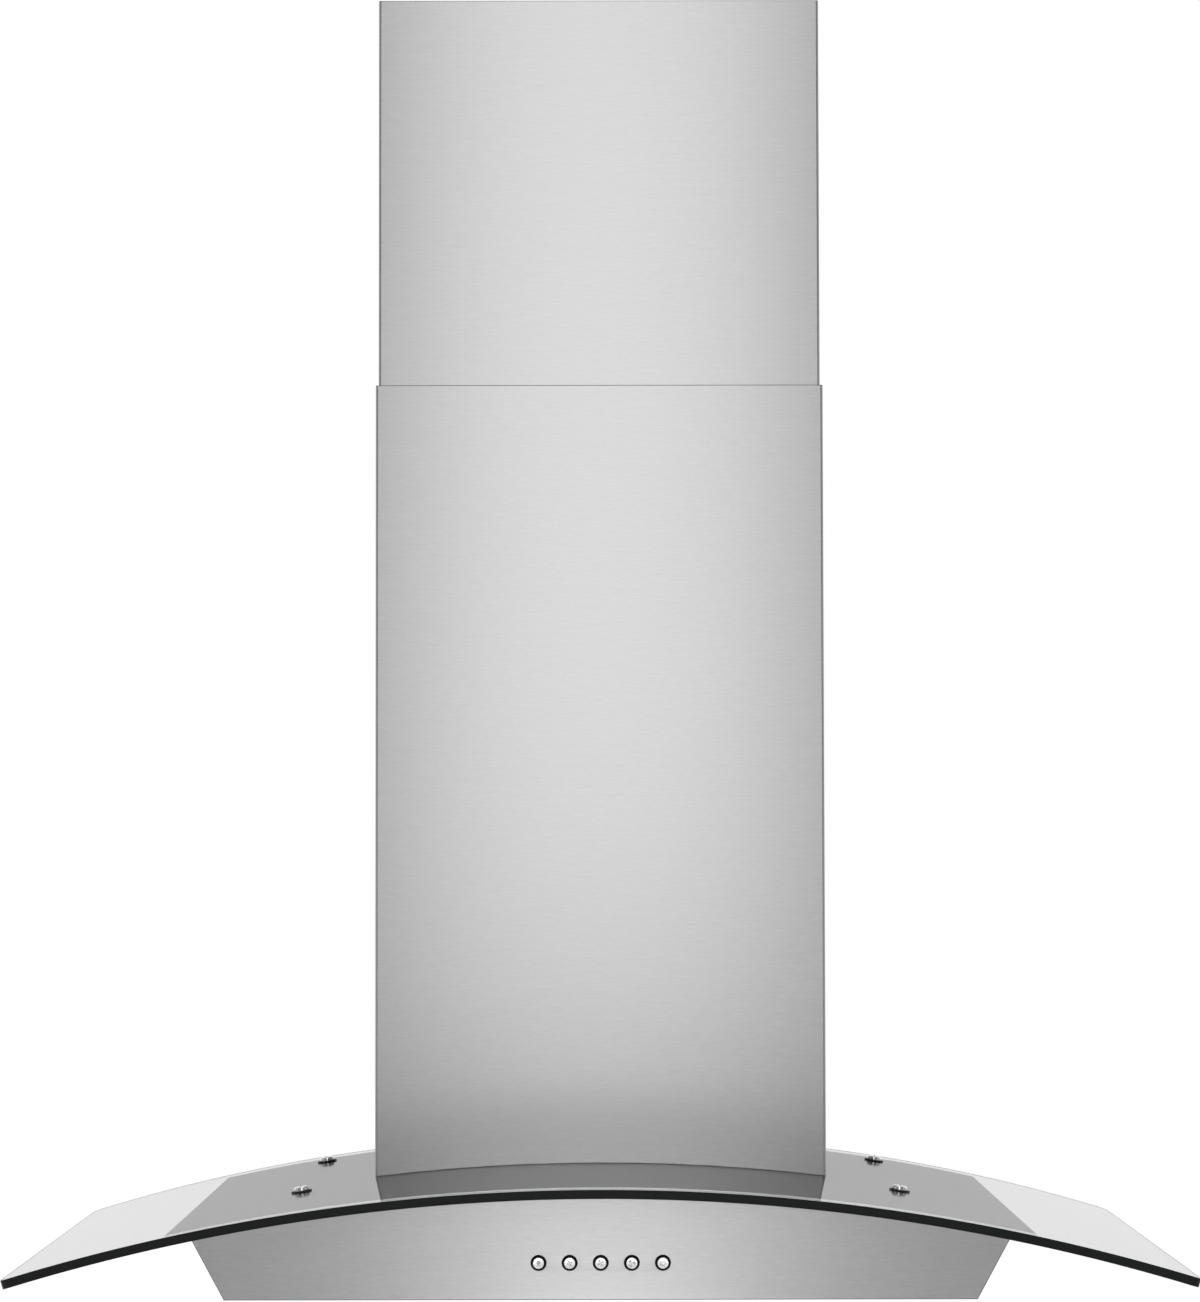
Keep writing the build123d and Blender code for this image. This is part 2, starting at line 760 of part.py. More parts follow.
def filter_mesh():
    """The right one: a sheet with a grid of diamond holes."""
    inner_x = (filter_x[0] + filter_rail, filter_x[1] - filter_rail)
    inner_y = (filter_y[0] + filter_rail, filter_y[1] - filter_rail)
    width = inner_x[1] - inner_x[0]
    length = inner_y[1] - inner_y[0]
    columns = int(width // mesh_pitch)
    rows = int(length // mesh_pitch)
    outline = Rectangle(width + 2 * mesh_seat, length + 2 * mesh_seat)
    holes = GridLocations(mesh_pitch, mesh_pitch, columns, rows) * RegularPolygon(mesh_hole, 4)
    centre_y = (inner_y[0] + inner_y[1]) / 2
    low = mesh_top_z - mesh_thickness - mesh_slack
    return Pos(filter_middle, centre_y, low) * extrude(outline - holes, mesh_thickness)


def filter_latch():
    """The right one: a flat slide with its thumb piece reaching down through the plate."""
    x_range = (filter_middle - latch_width / 2, filter_middle + latch_width / 2)
    slide = block(x_range, (latch_tip_y, latch_tip_y + latch_length), (latch_z, latch_z + latch_thickness))
    knob_x = (filter_middle - knob_width / 2, filter_middle + knob_width / 2)
    knob_range = (knob_y - knob_length / 2, knob_y + knob_length / 2)
    return slide + block(knob_x, knob_range, (bottom_z, latch_z + latch_thickness))


def latch_spring():
    """The right one, between the latch and the stop on the filter frame."""
    start = latch_tip_y + latch_length + seam
    end = filter_y[0] + latch_plate_length + filter_rail - 2 * sheet - seam
    outer = latch_thickness / 2 + latch_slack - seam
    z = latch_z + latch_thickness / 2
    return ring("Y", outer, outer - latch_spring_wire, start, end, filter_middle, z)


# ---- Lamps ----
def lamp_bezels():
    bezels = []
    for x in (-lamp_spacing / 2, lamp_spacing / 2):
        bezel = ring("Z", lamp_bezel_radius, lamp_lens_radius, bottom_z, pan_z, x, lamp_y)
        bezel += ring("Z", lamp_hole_radius, lamp_lens_radius + lamp_wall, bottom_z, pan_top_z, x, lamp_y)
        bezels.append(bezel)
    return Compound(children=bezels)


def lamp_lenses():
    radius = lamp_lens_radius + lamp_wall - guide_clearance
    return Compound(
        children=[
            rod("Z", radius, pan_z + seam, pan_z + seam + lamp_lens_thickness, x, lamp_y)
            for x in (-lamp_spacing / 2, lamp_spacing / 2)
        ]
    )


def lamp_housings():
    cans = []
    low = pan_top_z + seam
    for x in (-lamp_spacing / 2, lamp_spacing / 2):
        can = rod("Z", lamp_hole_radius + lamp_wall, low, low + lamp_can_height, x, lamp_y)
        inside = lamp_lens_radius + lamp_wall
        can -= rod("Z", inside, low, low + lamp_can_height - lamp_wall, x, lamp_y)
        top = low + lamp_can_height
        cans.append(can + rod("Z", lamp_fins_radius, top, top + lamp_fins_height, x, lamp_y))
    return Compound(children=cans)


# ---- Control box ----
def control_ranges():
    x_range = (control_x, control_x + control_length)
    y_range = (-control_back_gap - control_depth, -control_back_gap)
    z_range = (pan_top_z + seam, pan_top_z + seam + control_height)
    return x_range, y_range, z_range


def inset(bounds, amount):
    return (bounds[0] + amount, bounds[1] - amount)


def control_box():
    x_range, y_range, z_range = control_ranges()
    box = block(x_range, y_range, z_range)
    box -= block(
        inset(x_range, control_wall),
        inset(y_range, control_wall),
        (z_range[0] + control_wall, z_range[1] + sheet),
    )
    for x in inset(x_range, 2 * board_edge):
        for y in inset(y_range, 2 * board_edge):
            floor = z_range[0] + control_wall
            box += rod("Z", standoff_radius, floor - sheet, floor + standoff_height, x, y)
    middle_y = (y_range[0] + y_range[1]) / 2
    hole_z = (z_range[0] + z_range[1]) / 2
    hole = rod("X", lead_hole_radius, x_range[0] - sheet, x_range[0] + 2 * control_wall, middle_y, hole_z)
    return box - hole


def control_box_cover():
    x_range, y_range, z_range = control_ranges()
    top = z_range[1] + seam
    cover = block(x_range, y_range, (top, top + control_wall))
    rim_x = inset(x_range, control_wall + seam)
    rim_y = inset(y_range, control_wall + seam)
    rim = block(rim_x, rim_y, (top - 2 * control_wall, top))
    rim -= block(inset(rim_x, control_wall), inset(rim_y, control_wall), (top - 2 * control_wall, top))
    return cover + rim


def board_z():
    return control_ranges()[2][0] + control_wall + standoff_height + seam


def control_board():
    x_range, y_range, _ = control_ranges()
    board_x = inset(x_range, board_edge)
    board_y = inset(y_range, board_edge)
    low = board_z()
    board = block(board_x, board_y, (low, low + board_thickness))
    y = board_y[0] + relay_depth / 2
    for i in range(relay_count):
        x = board_x[1] - (i + 1) * relay_pitch
        board += block((x, x + relay_width), (y, y + relay_depth), (low, low + relay_height))
    return board


def terminal_block():
    x_range, y_range, _ = control_ranges()
    low = board_z() + board_thickness
    x = x_range[0] + 2 * board_edge
    y = y_range[1] - 2 * board_edge - terminal_depth / 2
    body_x = (x, x + terminal_length)
    body_y = (y - terminal_depth / 2, y + terminal_depth / 2)
    body = block(body_x, body_y, (low, low + terminal_height))
    for i in range(terminal_ways):
        way_x = x + terminal_length * (i + 0.5) / terminal_ways
        way_z = (low + terminal_height / 2, low + 2 * terminal_height)
        body -= rod("Z", terminal_way_radius, way_z[0], way_z[1], way_x, y)
    return body


# ---- Fan and motor ----
def impeller():
    """Plate on its hub, and the two end rings that its blades carry."""
    plate = rod("X", impeller_radius, -impeller_plate / 2, impeller_plate / 2, fan_y, fan_z)
    plate += rod("X", hub_radius, hub_start, hub_start + hub_length, fan_y, fan_z)
    plate -= rod("X", shaft_radius, -impeller_width, impeller_width, fan_y, fan_z)
    inner = impeller_radius - blade_depth
    rings = [
        ring("X", impeller_radius, inner, start, start + impeller_ring, fan_y, fan_z)
        for start in (-impeller_half, impeller_half - impeller_ring)
    ]
    return Compound(children=[plate] + rings)


def impeller_blades():
    """Blades staked between the plate and each ring."""
    middle = impeller_radius - blade_depth / 2
    length = impeller_half - impeller_ring - impeller_plate / 2
    blade = Rot(blade_turn, 0, 0) * Box(length, blade_thickness, blade_depth - blade_slack)
    blades = []
    for side in (-1, 1):
        x = side * (impeller_plate + length) / 2
        for i in range(blade_count):
            turn = Pos(x, fan_y, fan_z) * Rot(360 / blade_count * i, 0, 0)
            blades.append(turn * Pos(0, 0, middle) * blade)
    return Compound(children=blades)


def motor_shaft():
    end = hub_start + hub_length + shaft_tail
    return rod("X", shaft_radius, motor_start - shaft_tail, end, fan_y, fan_z)


def motor_middle():
    return (motor_start + motor_end) / 2


def motor_rotor():
    middle = motor_middle()
    start = middle - rotor_length / 2
    return ring("X", rotor_radius, shaft_radius, start, start + rotor_length, fan_y, fan_z)


def motor_stator():
    middle = motor_middle()
    outer = motor_radius - motor_wall - shaft_clearance
    start = middle - stator_length / 2
    return ring("X", outer, rotor_radius + air_gap, start, start + stator_length, fan_y, fan_z)


def motor_case():
    case = rod("X", motor_radius, motor_start, motor_end, fan_y, fan_z)
    inner = motor_radius - motor_wall
    case -= rod("X", inner, motor_start + motor_wall, motor_end - motor_wall, fan_y, fan_z)
    for start, side in ((motor_start + motor_wall, 1), (motor_end - motor_wall, -1)):
        seat = sorted((start - side * motor_wall, start + side * (bearing_width - motor_wall)))
        case += rod("X", bearing_radius + motor_wall, seat[0], seat[1], fan_y, fan_z)
    return case - rod("X", bearing_radius, motor_start - sheet, motor_end + sheet, fan_y, fan_z)


def motor_bearings():
    bore = shaft_radius + shaft_clearance
    return Compound(
        children=[
            ring("X", bearing_radius, bore, start, start + bearing_width, fan_y, fan_z)
            for start in (motor_start, motor_end - bearing_width)
        ]
    )


def bush_places():
    """(y, z) of the three rubber bushes that carry the motor."""
    turns = [90 + 360 / arm_count * i for i in range(arm_count)]
    return [
        (fan_y + arm_reach * cos(radians(t)), fan_z + arm_reach * sin(radians(t))) for t in turns
    ]


def motor_bracket():
    start = arm_x - bracket_ring_width
    bracket = rod("X", motor_radius + bracket_ring, start, arm_x, fan_y, fan_z)
    length = arm_reach + bush_radius
    arm = Box(arm_thickness, arm_width, length, align=(Align.MAX, Align.CENTER, Align.MIN))
    for i in range(arm_count):
        bracket += Pos(arm_x, fan_y, fan_z) * Rot(360 / arm_count * i, 0, 0) * arm
    return bracket - rod("X", motor_radius, start - sheet, arm_x + sheet, fan_y, fan_z)


def motor_bushes():
    return Compound(
        children=[rod("X", bush_radius, arm_x, -scroll_out, y, z) for y, z in bush_places()]
    )


def capacitor():
    x = -motor_box_half + sheet + capacitor_gap + capacitor_radius
    z = motor_box_top - sheet - capacitor_radius - 2 * capacitor_gap
    start = fan_y - capacitor_length / 2
    can = rod("Y", capacitor_radius, start, start + capacitor_length, x, z)
    return fillet(can.edges().group_by(Axis.Y)[0], 2 * sheet)


# ---- Scroll housing ----
def scroll_face(grow):
    """Side view of the air path in the scroll, made larger by a given wall, at x = 0."""
    r1 = scroll_start + grow
    r2 = r1 + scroll_step
    r3 = r2 + scroll_step
    centre1 = (fan_y, fan_z)
    centre2 = (fan_y - scroll_step, fan_z)
    centre3 = (fan_y - scroll_step, fan_z + scroll_step)

    def at(centre, radius, turn):
        return (0, centre[0] + radius * cos(radians(turn)), centre[1] + radius * sin(radians(turn)))

    start = 90 + tongue_turn
    first = at(centre1, r1, start)
    back = at(centre1, r1, 0)
    low = at(centre2, r2, -90)
    front = at(centre3, r3, -180)
    mouth_y = first[1] + grow
    edges = [
        ThreePointArc(first, at(centre1, r1, start / 2), back),
        ThreePointArc(back, at(centre2, r2, -45), low),
        ThreePointArc(low, at(centre3, r3, -135), front),
        Line(front, (0, front[1], scroll_top_z)),
        Line((0, front[1], scroll_top_z), (0, mouth_y, scroll_top_z)),
        Line((0, mouth_y, scroll_top_z), first),
    ]
    return make_face(edges)


def scroll_right():
    """The right half: half of the wall round the air path, and a side plate with the inlet and its lip."""
    outer = extrude(scroll_face(scroll_wall), amount=scroll_half, dir=(1, 0, 0))
    wall = outer - extrude(scroll_face(0), amount=scroll_half, dir=(1, 0, 0))
    wall -= block((-scroll_joint, scroll_joint / 2), (-motor_box_front, 0), (bottom_z, motor_box_top))
    plate = Pos(scroll_half, 0, 0) * extrude(scroll_face(scroll_wall), amount=scroll_wall, dir=(1, 0, 0))
    plate -= rod("X", inlet_radius, scroll_half - sheet, scroll_out + sheet, fan_y, fan_z)
    lip = ring("X", inlet_radius + inlet_lip, inlet_radius, scroll_out, scroll_out + inlet_lip, fan_y, fan_z)
    return Compound(children=[wall, plate + lip])


# ---- Motor box ----
def box_screw_places():
    """Screws of the motor box's flange: two each side and two in front."""
    side_x = motor_box_half + motor_box_flange / 2
    front_row = -motor_box_front - motor_box_flange / 2
    side_ys = (-motor_box_front / 4, -motor_box_front * 3 / 4)
    spots = [(side * side_x, y) for side in (-1, 1) for y in side_ys]
    spots += [(side * motor_box_half / 2, front_row) for side in (-1, 1)]
    return [on_arc(x, y, plate_depth_below - sheet - flange_lift) for x, y in spots]


def motor_box_ranges():
    x_range = (-motor_box_half, motor_box_half)
    y_range = (-motor_box_front, -motor_box_back_gap)
    return x_range, y_range


def motor_box():
    """Four walls spot-welded at their edges, and the three strips of the flange on the top plate."""
    x_range, y_range = motor_box_ranges()
    z_range = (bottom_z, motor_box_top - sheet)
    inner_x = inset(x_range, sheet)
    walls = [
        block((x_range[0], inner_x[0]), y_range, z_range),
        block((inner_x[1], x_range[1]), y_range, z_range),
        block(inner_x, (y_range[0], y_range[0] + sheet), z_range),
        block(inner_x, (y_range[1] - sheet, y_range[1]), z_range),
    ]
    front = y_range[0] - motor_box_flange
    strips = [
        block((x_range[0] - motor_box_flange, x_range[0]), (front, y_range[1]), z_range),
        block((x_range[1], x_range[1] + motor_box_flange), (front, y_range[1]), z_range),
        block(x_range, (front, y_range[0]), z_range),
    ]
    rim = plate_depth_below - sheet - flange_lift
    flange = [strip & arc_body(rim, front, 0) for strip in strips]
    for place in box_screw_places():
        hole = place * Cylinder(box_screw_radius + guide_clearance, 3 * sheet)
        flange = [strip - hole for strip in flange]
    under = arc_body(rim + sheet, front - sheet, 0)
    return Compound(children=[panel - under for panel in walls + flange])


def motor_box_lid():
    """Two side plates and two cross plates that leave the outlet open, with the collar's and the gland's holes."""
    x_range, y_range = motor_box_ranges()
    z_range = (motor_box_top - sheet, motor_box_top)
    outlet_x = (-scroll_half - outlet_clearance, scroll_half + outlet_clearance)
    outlet_y = (outlet_front_y - outlet_clearance, tongue_y + outlet_clearance)
    plates = [
        block((x_range[0], outlet_x[0]), y_range, z_range),
        block((outlet_x[1], x_range[1]), y_range, z_range),
        block(outlet_x, (y_range[0], outlet_y[0]), z_range),
        block(outlet_x, (outlet_y[1], y_range[1]), z_range),
    ]
    holes = [(x, y, box_screw_radius) for x, y in collar_screw_spots()]
    holes.append((gland_x, gland_y, gland_thread_radius))
    for x, y, radius in holes:
        hole = rod("Z", radius + guide_clearance, z_range[0] - sheet, z_range[1] + sheet, x, y)
        plates = [plate - hole for plate in plates]
    return Compound(children=plates)


def small_screw():
    """Pan-head screw, its head resting on z = 0."""
    up = (Align.CENTER, Align.CENTER, Align.MIN)
    down = (Align.CENTER, Align.CENTER, Align.MAX)
    head = Cylinder(box_screw_head, box_screw_head_height, align=up)
    head = fillet(head.edges().group_by(Axis.Z)[-1], box_screw_round)
    return head + Cylinder(box_screw_radius, box_screw_length, align=down)


def motor_box_screws():
    return Compound(children=[place * small_screw() for place in box_screw_places()])


# ---- Duct collar and damper ----
def collar_screw_spots():
    reach = duct_radius + collar_flange / 2
    turns = [360 / collar_screw_count * (i + 0.5) for i in range(collar_screw_count)]
    return [(reach * cos(radians(t)), -collar_centre + reach * sin(radians(t))) for t in turns]


def duct_collar():
    low = motor_box_top
    centre_y = -collar_centre
    inner = duct_radius - duct_wall
    collar = rod("Z", duct_radius + collar_flange, low, low + collar_flange_thickness, 0, centre_y)
    collar += rod("Z", duct_radius, low, low + collar_height, 0, centre_y)
    collar -= rod("Z", inner, low - sheet, low + collar_height + sheet, 0, centre_y)
    boss = block(
        (inner - pin_boss_length, inner + duct_wall / 2),
        (centre_y - pin_boss / 2, centre_y + pin_boss / 2),
        (flap_z - pin_boss / 2, flap_z + pin_boss / 2),
    )
    collar += boss
    collar += flipped(boss)
    collar -= rod("X", pin_radius, -pin_half, pin_half, centre_y, flap_z)
    for x, y in collar_screw_spots():
        hole_z = (low - sheet, low + collar_flange_thickness + sheet)
        collar -= rod("Z", box_screw_radius + guide_clearance, hole_z[0], hole_z[1], x, y)
    return collar


def collar_screws():
    seat = motor_box_top + collar_flange_thickness
    return Compound(children=[Pos(x, y, seat) * small_screw() for x, y in collar_screw_spots()])


def damper_pin():
    return rod("X", pin_radius, -pin_half, pin_half, -collar_centre, flap_z)


def damper_flap(side):
    """Half disc beside the hinge's axis; side is -1 for the front one and 1 for the back one."""
    centre_y = -collar_centre
    half = flap_thickness / 2
    flap = rod("Z", flap_radius, flap_z - half, flap_z + half, 0, centre_y)
    keep_y = sorted((centre_y + side * flap_start, centre_y + side * duct_radius))
    around_z = (flap_z - flap_thickness, flap_z + flap_thickness)
    flap &= block((-duct_radius, duct_radius), keep_y, around_z)
    corner_x = duct_radius - duct_wall - pin_boss_length - flap_clearance
    corner_y = sorted((centre_y, centre_y + side * flap_corner))
    for end in (-1, 1):
        corner = sorted((end * corner_x, end * duct_radius))
        flap -= block(corner, corner_y, around_z)
    for spot in (-knuckle_place, knuckle_place):
        start = spot + side * (knuckle_length + knuckle_gap) / 2 - knuckle_length / 2
        reach_y = sorted((centre_y, centre_y + side * (flap_start + half)))
        flap += block((start, start + knuckle_length), reach_y, (flap_z - half, flap_z + half))
        flap += rod("X", knuckle_radius, start, start + knuckle_length, centre_y, flap_z)
    return flap - rod("X", pin_radius + pin_clearance, -duct_radius, duct_radius, centre_y, flap_z)


def cable_gland():
    seat = motor_box_top
    hexagon = Pos(gland_x, gland_y, seat) * extrude(RegularPolygon(gland_body_radius, 6), gland_body_height)
    cap_low = seat + gland_body_height
    cap = rod("Z", gland_cap_radius, cap_low, cap_low + gland_cap_height, gland_x, gland_y)
    cap = fillet(cap.edges().group_by(Axis.Z)[-1], gland_cap_round)
    thread = rod("Z", gland_thread_radius, seat - gland_tail, seat + sheet, gland_x, gland_y)
    low = seat - gland_tail - sheet
    high = cap_low + gland_cap_height + sheet
    body = hexagon + cap + thread - rod("Z", gland_bore_radius, low, high, gland_x, gland_y)
    nut_low = seat - sheet - seam - gland_nut_height
    nut = Pos(gland_x, gland_y, nut_low) * extrude(RegularPolygon(gland_body_radius, 6), gland_nut_height)
    nut -= rod("Z", gland_thread_radius + shaft_clearance, low, seat, gland_x, gland_y)
    return Compound(children=[body, nut])


button_names = ["light_button", "low_speed_button", "mid_speed_button", "high_speed_button", "power_button"]


def all_pieces():
    """Every piece by the name of its file."""
    frame_right = filter_frame()
    mesh_right = filter_mesh()
    latch_right = filter_latch()
    spring_right = latch_spring()
    side_right = side_panel()
    scroll = scroll_right()
    pieces = {
        "glass_canopy": glass_canopy(),
        "glass_screws": on_screws(glass_screw),
        "glass_washers": on_screws(glass_washer),
        "glass_pads": on_screws(glass_pad),
        "glass_nuts": on_screws(glass_nut),
        "top_plate": top_plate(),
        "front_panel": front_panel(),
        "side_panel_right": side_right,
        "side_panel_left": flipped(side_right),
        "back_panel": back_panel(),
        "bottom_pan": bottom_pan(),
        "pan_rivets": pan_rivets(),
        "lower_chimney": lower_chimney(),
        "lower_chimney_screws": lower_chimney_screws(),
        "upper_chimney": upper_chimney(),
        "chimney_bracket": chimney_bracket(),
        "chimney_bracket_screws": side_screws(upper_half, -bracket_arm / 2, bracket_z),
        "switch_housing": switch_housing(),
        "button_springs": button_springs(),
        "filter_frame_right": frame_right,
        "filter_frame_left": flipped(frame_right),
        "filter_mesh_right": mesh_right,
        "filter_mesh_left": flipped(mesh_right),
        "filter_latch_right": latch_right,
        "filter_latch_left": flipped(latch_right),
        "latch_spring_right": spring_right,
        "latch_spring_left": flipped(spring_right),
        "lamp_bezels": lamp_bezels(),
        "lamp_lenses": lamp_lenses(),
        "lamp_housings": lamp_housings(),
        "control_box": control_box(),
        "control_box_cover": control_box_cover(),
        "control_board": control_board(),
        "terminal_block": terminal_block(),
        "impeller": impeller(),
        "impeller_blades": impeller_blades(),
        "motor_shaft": motor_shaft(),
        "motor_rotor": motor_rotor(),
        "motor_stator": motor_stator(),
        "motor_case": motor_case(),
        "motor_bearings": motor_bearings(),
        "motor_bracket": motor_bracket(),
        "motor_bushes": motor_bushes(),
        "capacitor": capacitor(),
        "scroll_right": scroll,
        "scroll_left": flipped(scroll),
        "motor_box": motor_box(),
        "motor_box_lid": motor_box_lid(),
        "motor_box_screws": motor_box_screws(),
        "duct_collar": duct_collar(),
        "collar_screws": collar_screws(),
        "damper_pin": damper_pin(),
        "damper_flap_front": damper_flap(-1),
        "damper_flap_back": damper_flap(1),
        "cable_gland": cable_gland(),
    }
    for name, x in zip(button_names, button_xs):
        pieces[name] = push_button(x)
    return pieces


os.makedirs("parts", exist_ok=True)
for name, piece in all_pieces().items():
    export_step(piece, f"parts/{name}.step")
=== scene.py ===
"""Curved glass range hood: finishes, fine pieces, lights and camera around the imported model, in metres."""
import json
from math import asin, cos, pi, radians, sin, sqrt, tan

import bmesh
import bpy
from mathutils import Matrix, Vector


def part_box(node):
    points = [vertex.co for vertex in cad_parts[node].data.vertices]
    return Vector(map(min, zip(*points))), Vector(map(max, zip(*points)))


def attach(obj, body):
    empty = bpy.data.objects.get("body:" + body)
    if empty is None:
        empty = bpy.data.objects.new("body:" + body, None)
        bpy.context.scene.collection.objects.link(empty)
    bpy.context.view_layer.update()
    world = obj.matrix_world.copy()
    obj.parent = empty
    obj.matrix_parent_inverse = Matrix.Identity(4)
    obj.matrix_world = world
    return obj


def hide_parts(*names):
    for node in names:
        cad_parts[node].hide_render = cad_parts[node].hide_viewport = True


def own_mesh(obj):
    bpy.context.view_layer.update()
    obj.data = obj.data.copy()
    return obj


# ---- Curved glass ----
ARC_RADIUS = 1.302
GLASS_THICKNESS = 0.006
FRONT_CORNER = 0.005
BACK_CORNER = 0.010
NOTCH_CORNER = 0.012
NOTCH_HALF = 0.122  # of the width of the notch at the back
NOTCH_FRONT_Y = -0.262
GLASS_HOLE = 0.0045  # radius
SCREW_X = 0.202  # left and right of the middle
SCREW_YS = (-0.061, -0.319)
ARRIS = 0.00015
RIM_ANGLE = 60.0  # degrees; the slab's edges sharper than this get the arris
GLASS_COLUMNS = 128  # flat strips that stand for the arc
BROAD_LEVEL = 0.99  # a face this near to level with the arc is a broad surface
ARRIS_LEVEL = 0.2  # and a rim face above this is part of the upper arris
CLEAR, PAINTED_SHADE_EDGE, PAINTED_HIGHLIGHT_ARRIS, SIDE = range(4)  # the glass's finishes, in their order on the mesh: clear, painted shade on the front and end edges, a painted highlight on their arris, and the ground side edges

# ---- Steel sheets ----
SHEET_ROUND = 0.00042  # of the sheets' cut edges
PANEL_ROUND = 0.0005  # of the front panel's outline and button holes, on its front only
CUT_ANGLE = 40.0  # degrees; edges sharper than this are cut or folded ones
FLAT_ANGLE = 0.4  # degrees; faces that meet under this angle become one
OUTLINE_EDGE = 0.04  # edges of the front panel longer than this are its outline
HOLE_REACH = 0.006  # up and down from the buttons' middle, within which edges are their holes
FOOT_HEIGHT = 0.02  # above the glass, under which the lower chimney's edges stay plain
SAME_POINT = 1e-6
SAME_PLANE = 1e-5

# ---- Finishes of the glass and steel ----
GLASS_IOR = 1.5
GLASS_TINT = (0.958, 0.961, 0.960, 1.0)
MIRROR_TINT = (0.485, 0.49, 0.488)
GLASS_MIRROR = 0.36  # the most that one surface mirrors
SIDE_MIRROR = 0.06  # and the ground edges at the back, notch and holes
STEEL_GRAY = 0.47
SHADED_GRAY = 0.28  # painted shade: the plate under the glass is given a darker gray than the other steel
ALONG_GRAIN = 125.0  # waves per metre
ACROSS_GRAIN = 1150.0
UPRIGHT_GRAIN = (ALONG_GRAIN, ALONG_GRAIN, ACROSS_GRAIN)
FLAT_GRAIN = (ALONG_GRAIN, ACROSS_GRAIN, ALONG_GRAIN)
BROAD_WAVES = 0.12  # of the steel's broad streaks, for each wave of its fine ones
BROAD_SHARE = 0.12  # of the broad streaks in the pattern
CLOUD_WAVES = 25.0  # per metre, in plastic and rubber
FROST_WAVES = 2500.0  # per metre, on the lamps' glass

# ---- Buttons ----
BUTTONS = ("light_button", "low_speed_button", "mid_speed_button", "high_speed_button", "power_button")
FACE_RADIUS = 0.0035
FACE_DISH = 0.00012  # depth of the face's middle
FACE_RIM = 0.98  # share of the face's radius at which its dish ends
FACE_REACH = 0.0002  # behind the face's front, within which it is metal
CAP_RADIUS = 0.004
CAP_ROUND = 0.0005
CAP_STEPS = 4
CAP_BACK = 0.00008  # from the face's front to the black ring round it
FLANGE_DEPTH = 0.0014
STEM_RADIUS = 0.0025
PRINT_THICKNESS = 0.00005
FAN_HUB = 0.2  # radius, as a share of the printed fan's
FAN_ROOT = 0.32  # and of the blades' roots
TIP_SWEEP = 200.0  # degrees along the rim that the tips of all blades cover together
ROOT_SWEEP = (60.0, 260.0)  # and from where to where their roots reach

# ---- Springs, filters and lamps ----
SIDES = ("right", "left")
BUTTON_WIRE = 0.00045  # radius
BUTTON_TURNS = 7
LATCH_WIRE = 0.0002
LATCH_TURNS = 16
LONG_PITCH = 0.0075  # of the expanded metal's openings
SHORT_PITCH = 0.0050
LAYER_INSET = 0.0008  # from the filter's faces to the layers' middles
STRAND_WIDTH = 0.0011
STRAND_THICKNESS = 0.0004
STRAND_TILT = 35.0  # degrees
STRAND_RISE = 0.0003  # up and down from the layer's middle
LENS_STEPS = 60  # from rim to middle
LENS_PITCH = 0.0035  # of the lens's rings
LENS_GROOVE = 0.0002
LENS_RINGED = 0.93  # share of the radius within which it has rings

# ---- Camera, fitted to the photograph's edges ----
CAMERA_PLACE = (0.0, -3.068, 0.1257)
CAMERA_TILT = 92.687  # degrees
CAMERA_ROLL = 0.10
CAMERA_LENS = 111.9  # millimetres
SENSOR_WIDTH = 36.0
CLIP_END = 100.0

# ---- Studio ----
FLOOR_Z = -0.95
FLOOR_SIZE = 30.0
FLOOR_GLOW = 0.55
FLOOR_IN_METAL = 0.4  # share of that glow that metal sees, where the lamps already light the floor
ROOM_FRONT = 0.22  # brightness of the room in front of the hood, as metal sees it
ROOM_TURN = (-0.25, 0.6)  # Y of the directions between which it brightens to white
AMBIENT = 0.55
LAMPS = {  # place, aim, width, length and watts
    "front_strip": ((0, -1.5, 0.83), (0, 0, 0.83), 0.43, 1.78, 3.75),
    "low_strip": ((0, -1.5, -0.60), (0, 0, -0.60), 0.20, 0.62, 1.0),
    "overhead": ((0, -0.9, 2.4), (0, -0.2, 0), 2.2, 1.6, 7.0),
    "left_fill": ((-2.6, -1.4, 0.9), (0, -0.2, 0.1), 1.4, 1.8, 3.0),
    "right_fill": ((2.6, -1.4, 0.9), (0, -0.2, 0.1), 1.4, 1.8, 3.0),
}

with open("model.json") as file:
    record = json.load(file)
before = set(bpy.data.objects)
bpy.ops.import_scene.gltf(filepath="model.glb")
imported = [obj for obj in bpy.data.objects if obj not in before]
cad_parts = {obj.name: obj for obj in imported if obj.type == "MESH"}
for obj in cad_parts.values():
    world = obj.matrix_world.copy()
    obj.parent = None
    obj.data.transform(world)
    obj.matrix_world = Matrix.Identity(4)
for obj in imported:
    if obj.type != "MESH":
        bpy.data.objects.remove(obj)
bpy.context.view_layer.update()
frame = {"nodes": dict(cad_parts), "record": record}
nodes = frame["nodes"]
glass_low, glass_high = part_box("glass_canopy")
finishes = {}  # each material by the name that it is made with


# ---- Shader nodes ----
def add(tree, kind, inputs=None, **properties):
    """A new shader node with its inputs and properties set."""
    node = tree.nodes.new("ShaderNode" + kind)
    for name, value in properties.items():
        setattr(node, name, value)
    for name, value in (inputs or {}).items():
        if isinstance(value, bpy.types.NodeSocket):
            tree.links.new(value, node.inputs[name])
        else:
            node.inputs[name].default_value = value
    return node


def combined(tree, operation, first, second):
    """Arithmetic on two values."""
    return add(tree, "Math", {0: first, 1: second}, operation=operation).outputs[0]


def looked_at(tree, path):
    """1 for what the camera sees, also through glass, and 0 for what only lights or mirrors."""
    return combined(tree, "MAXIMUM", path.outputs["Is Camera Ray"], path.outputs["Is Transmission Ray"])


def new_material(name, color, **settings):
    """A Principled material for finishes. Settings are socket names with underscores for spaces."""
    material = bpy.data.materials.new(name)
    material.use_nodes = True
    tree = material.node_tree
    shader = tree.nodes["Principled BSDF"]
    shader.inputs["Base Color"].default_value = (*color, 1.0)
    for setting, value in settings.items():
        shader.inputs[setting.replace("_", " ")].default_value = value
    material.diffuse_color = (*color, 1.0)
    finishes[name] = material
    return tree, shader


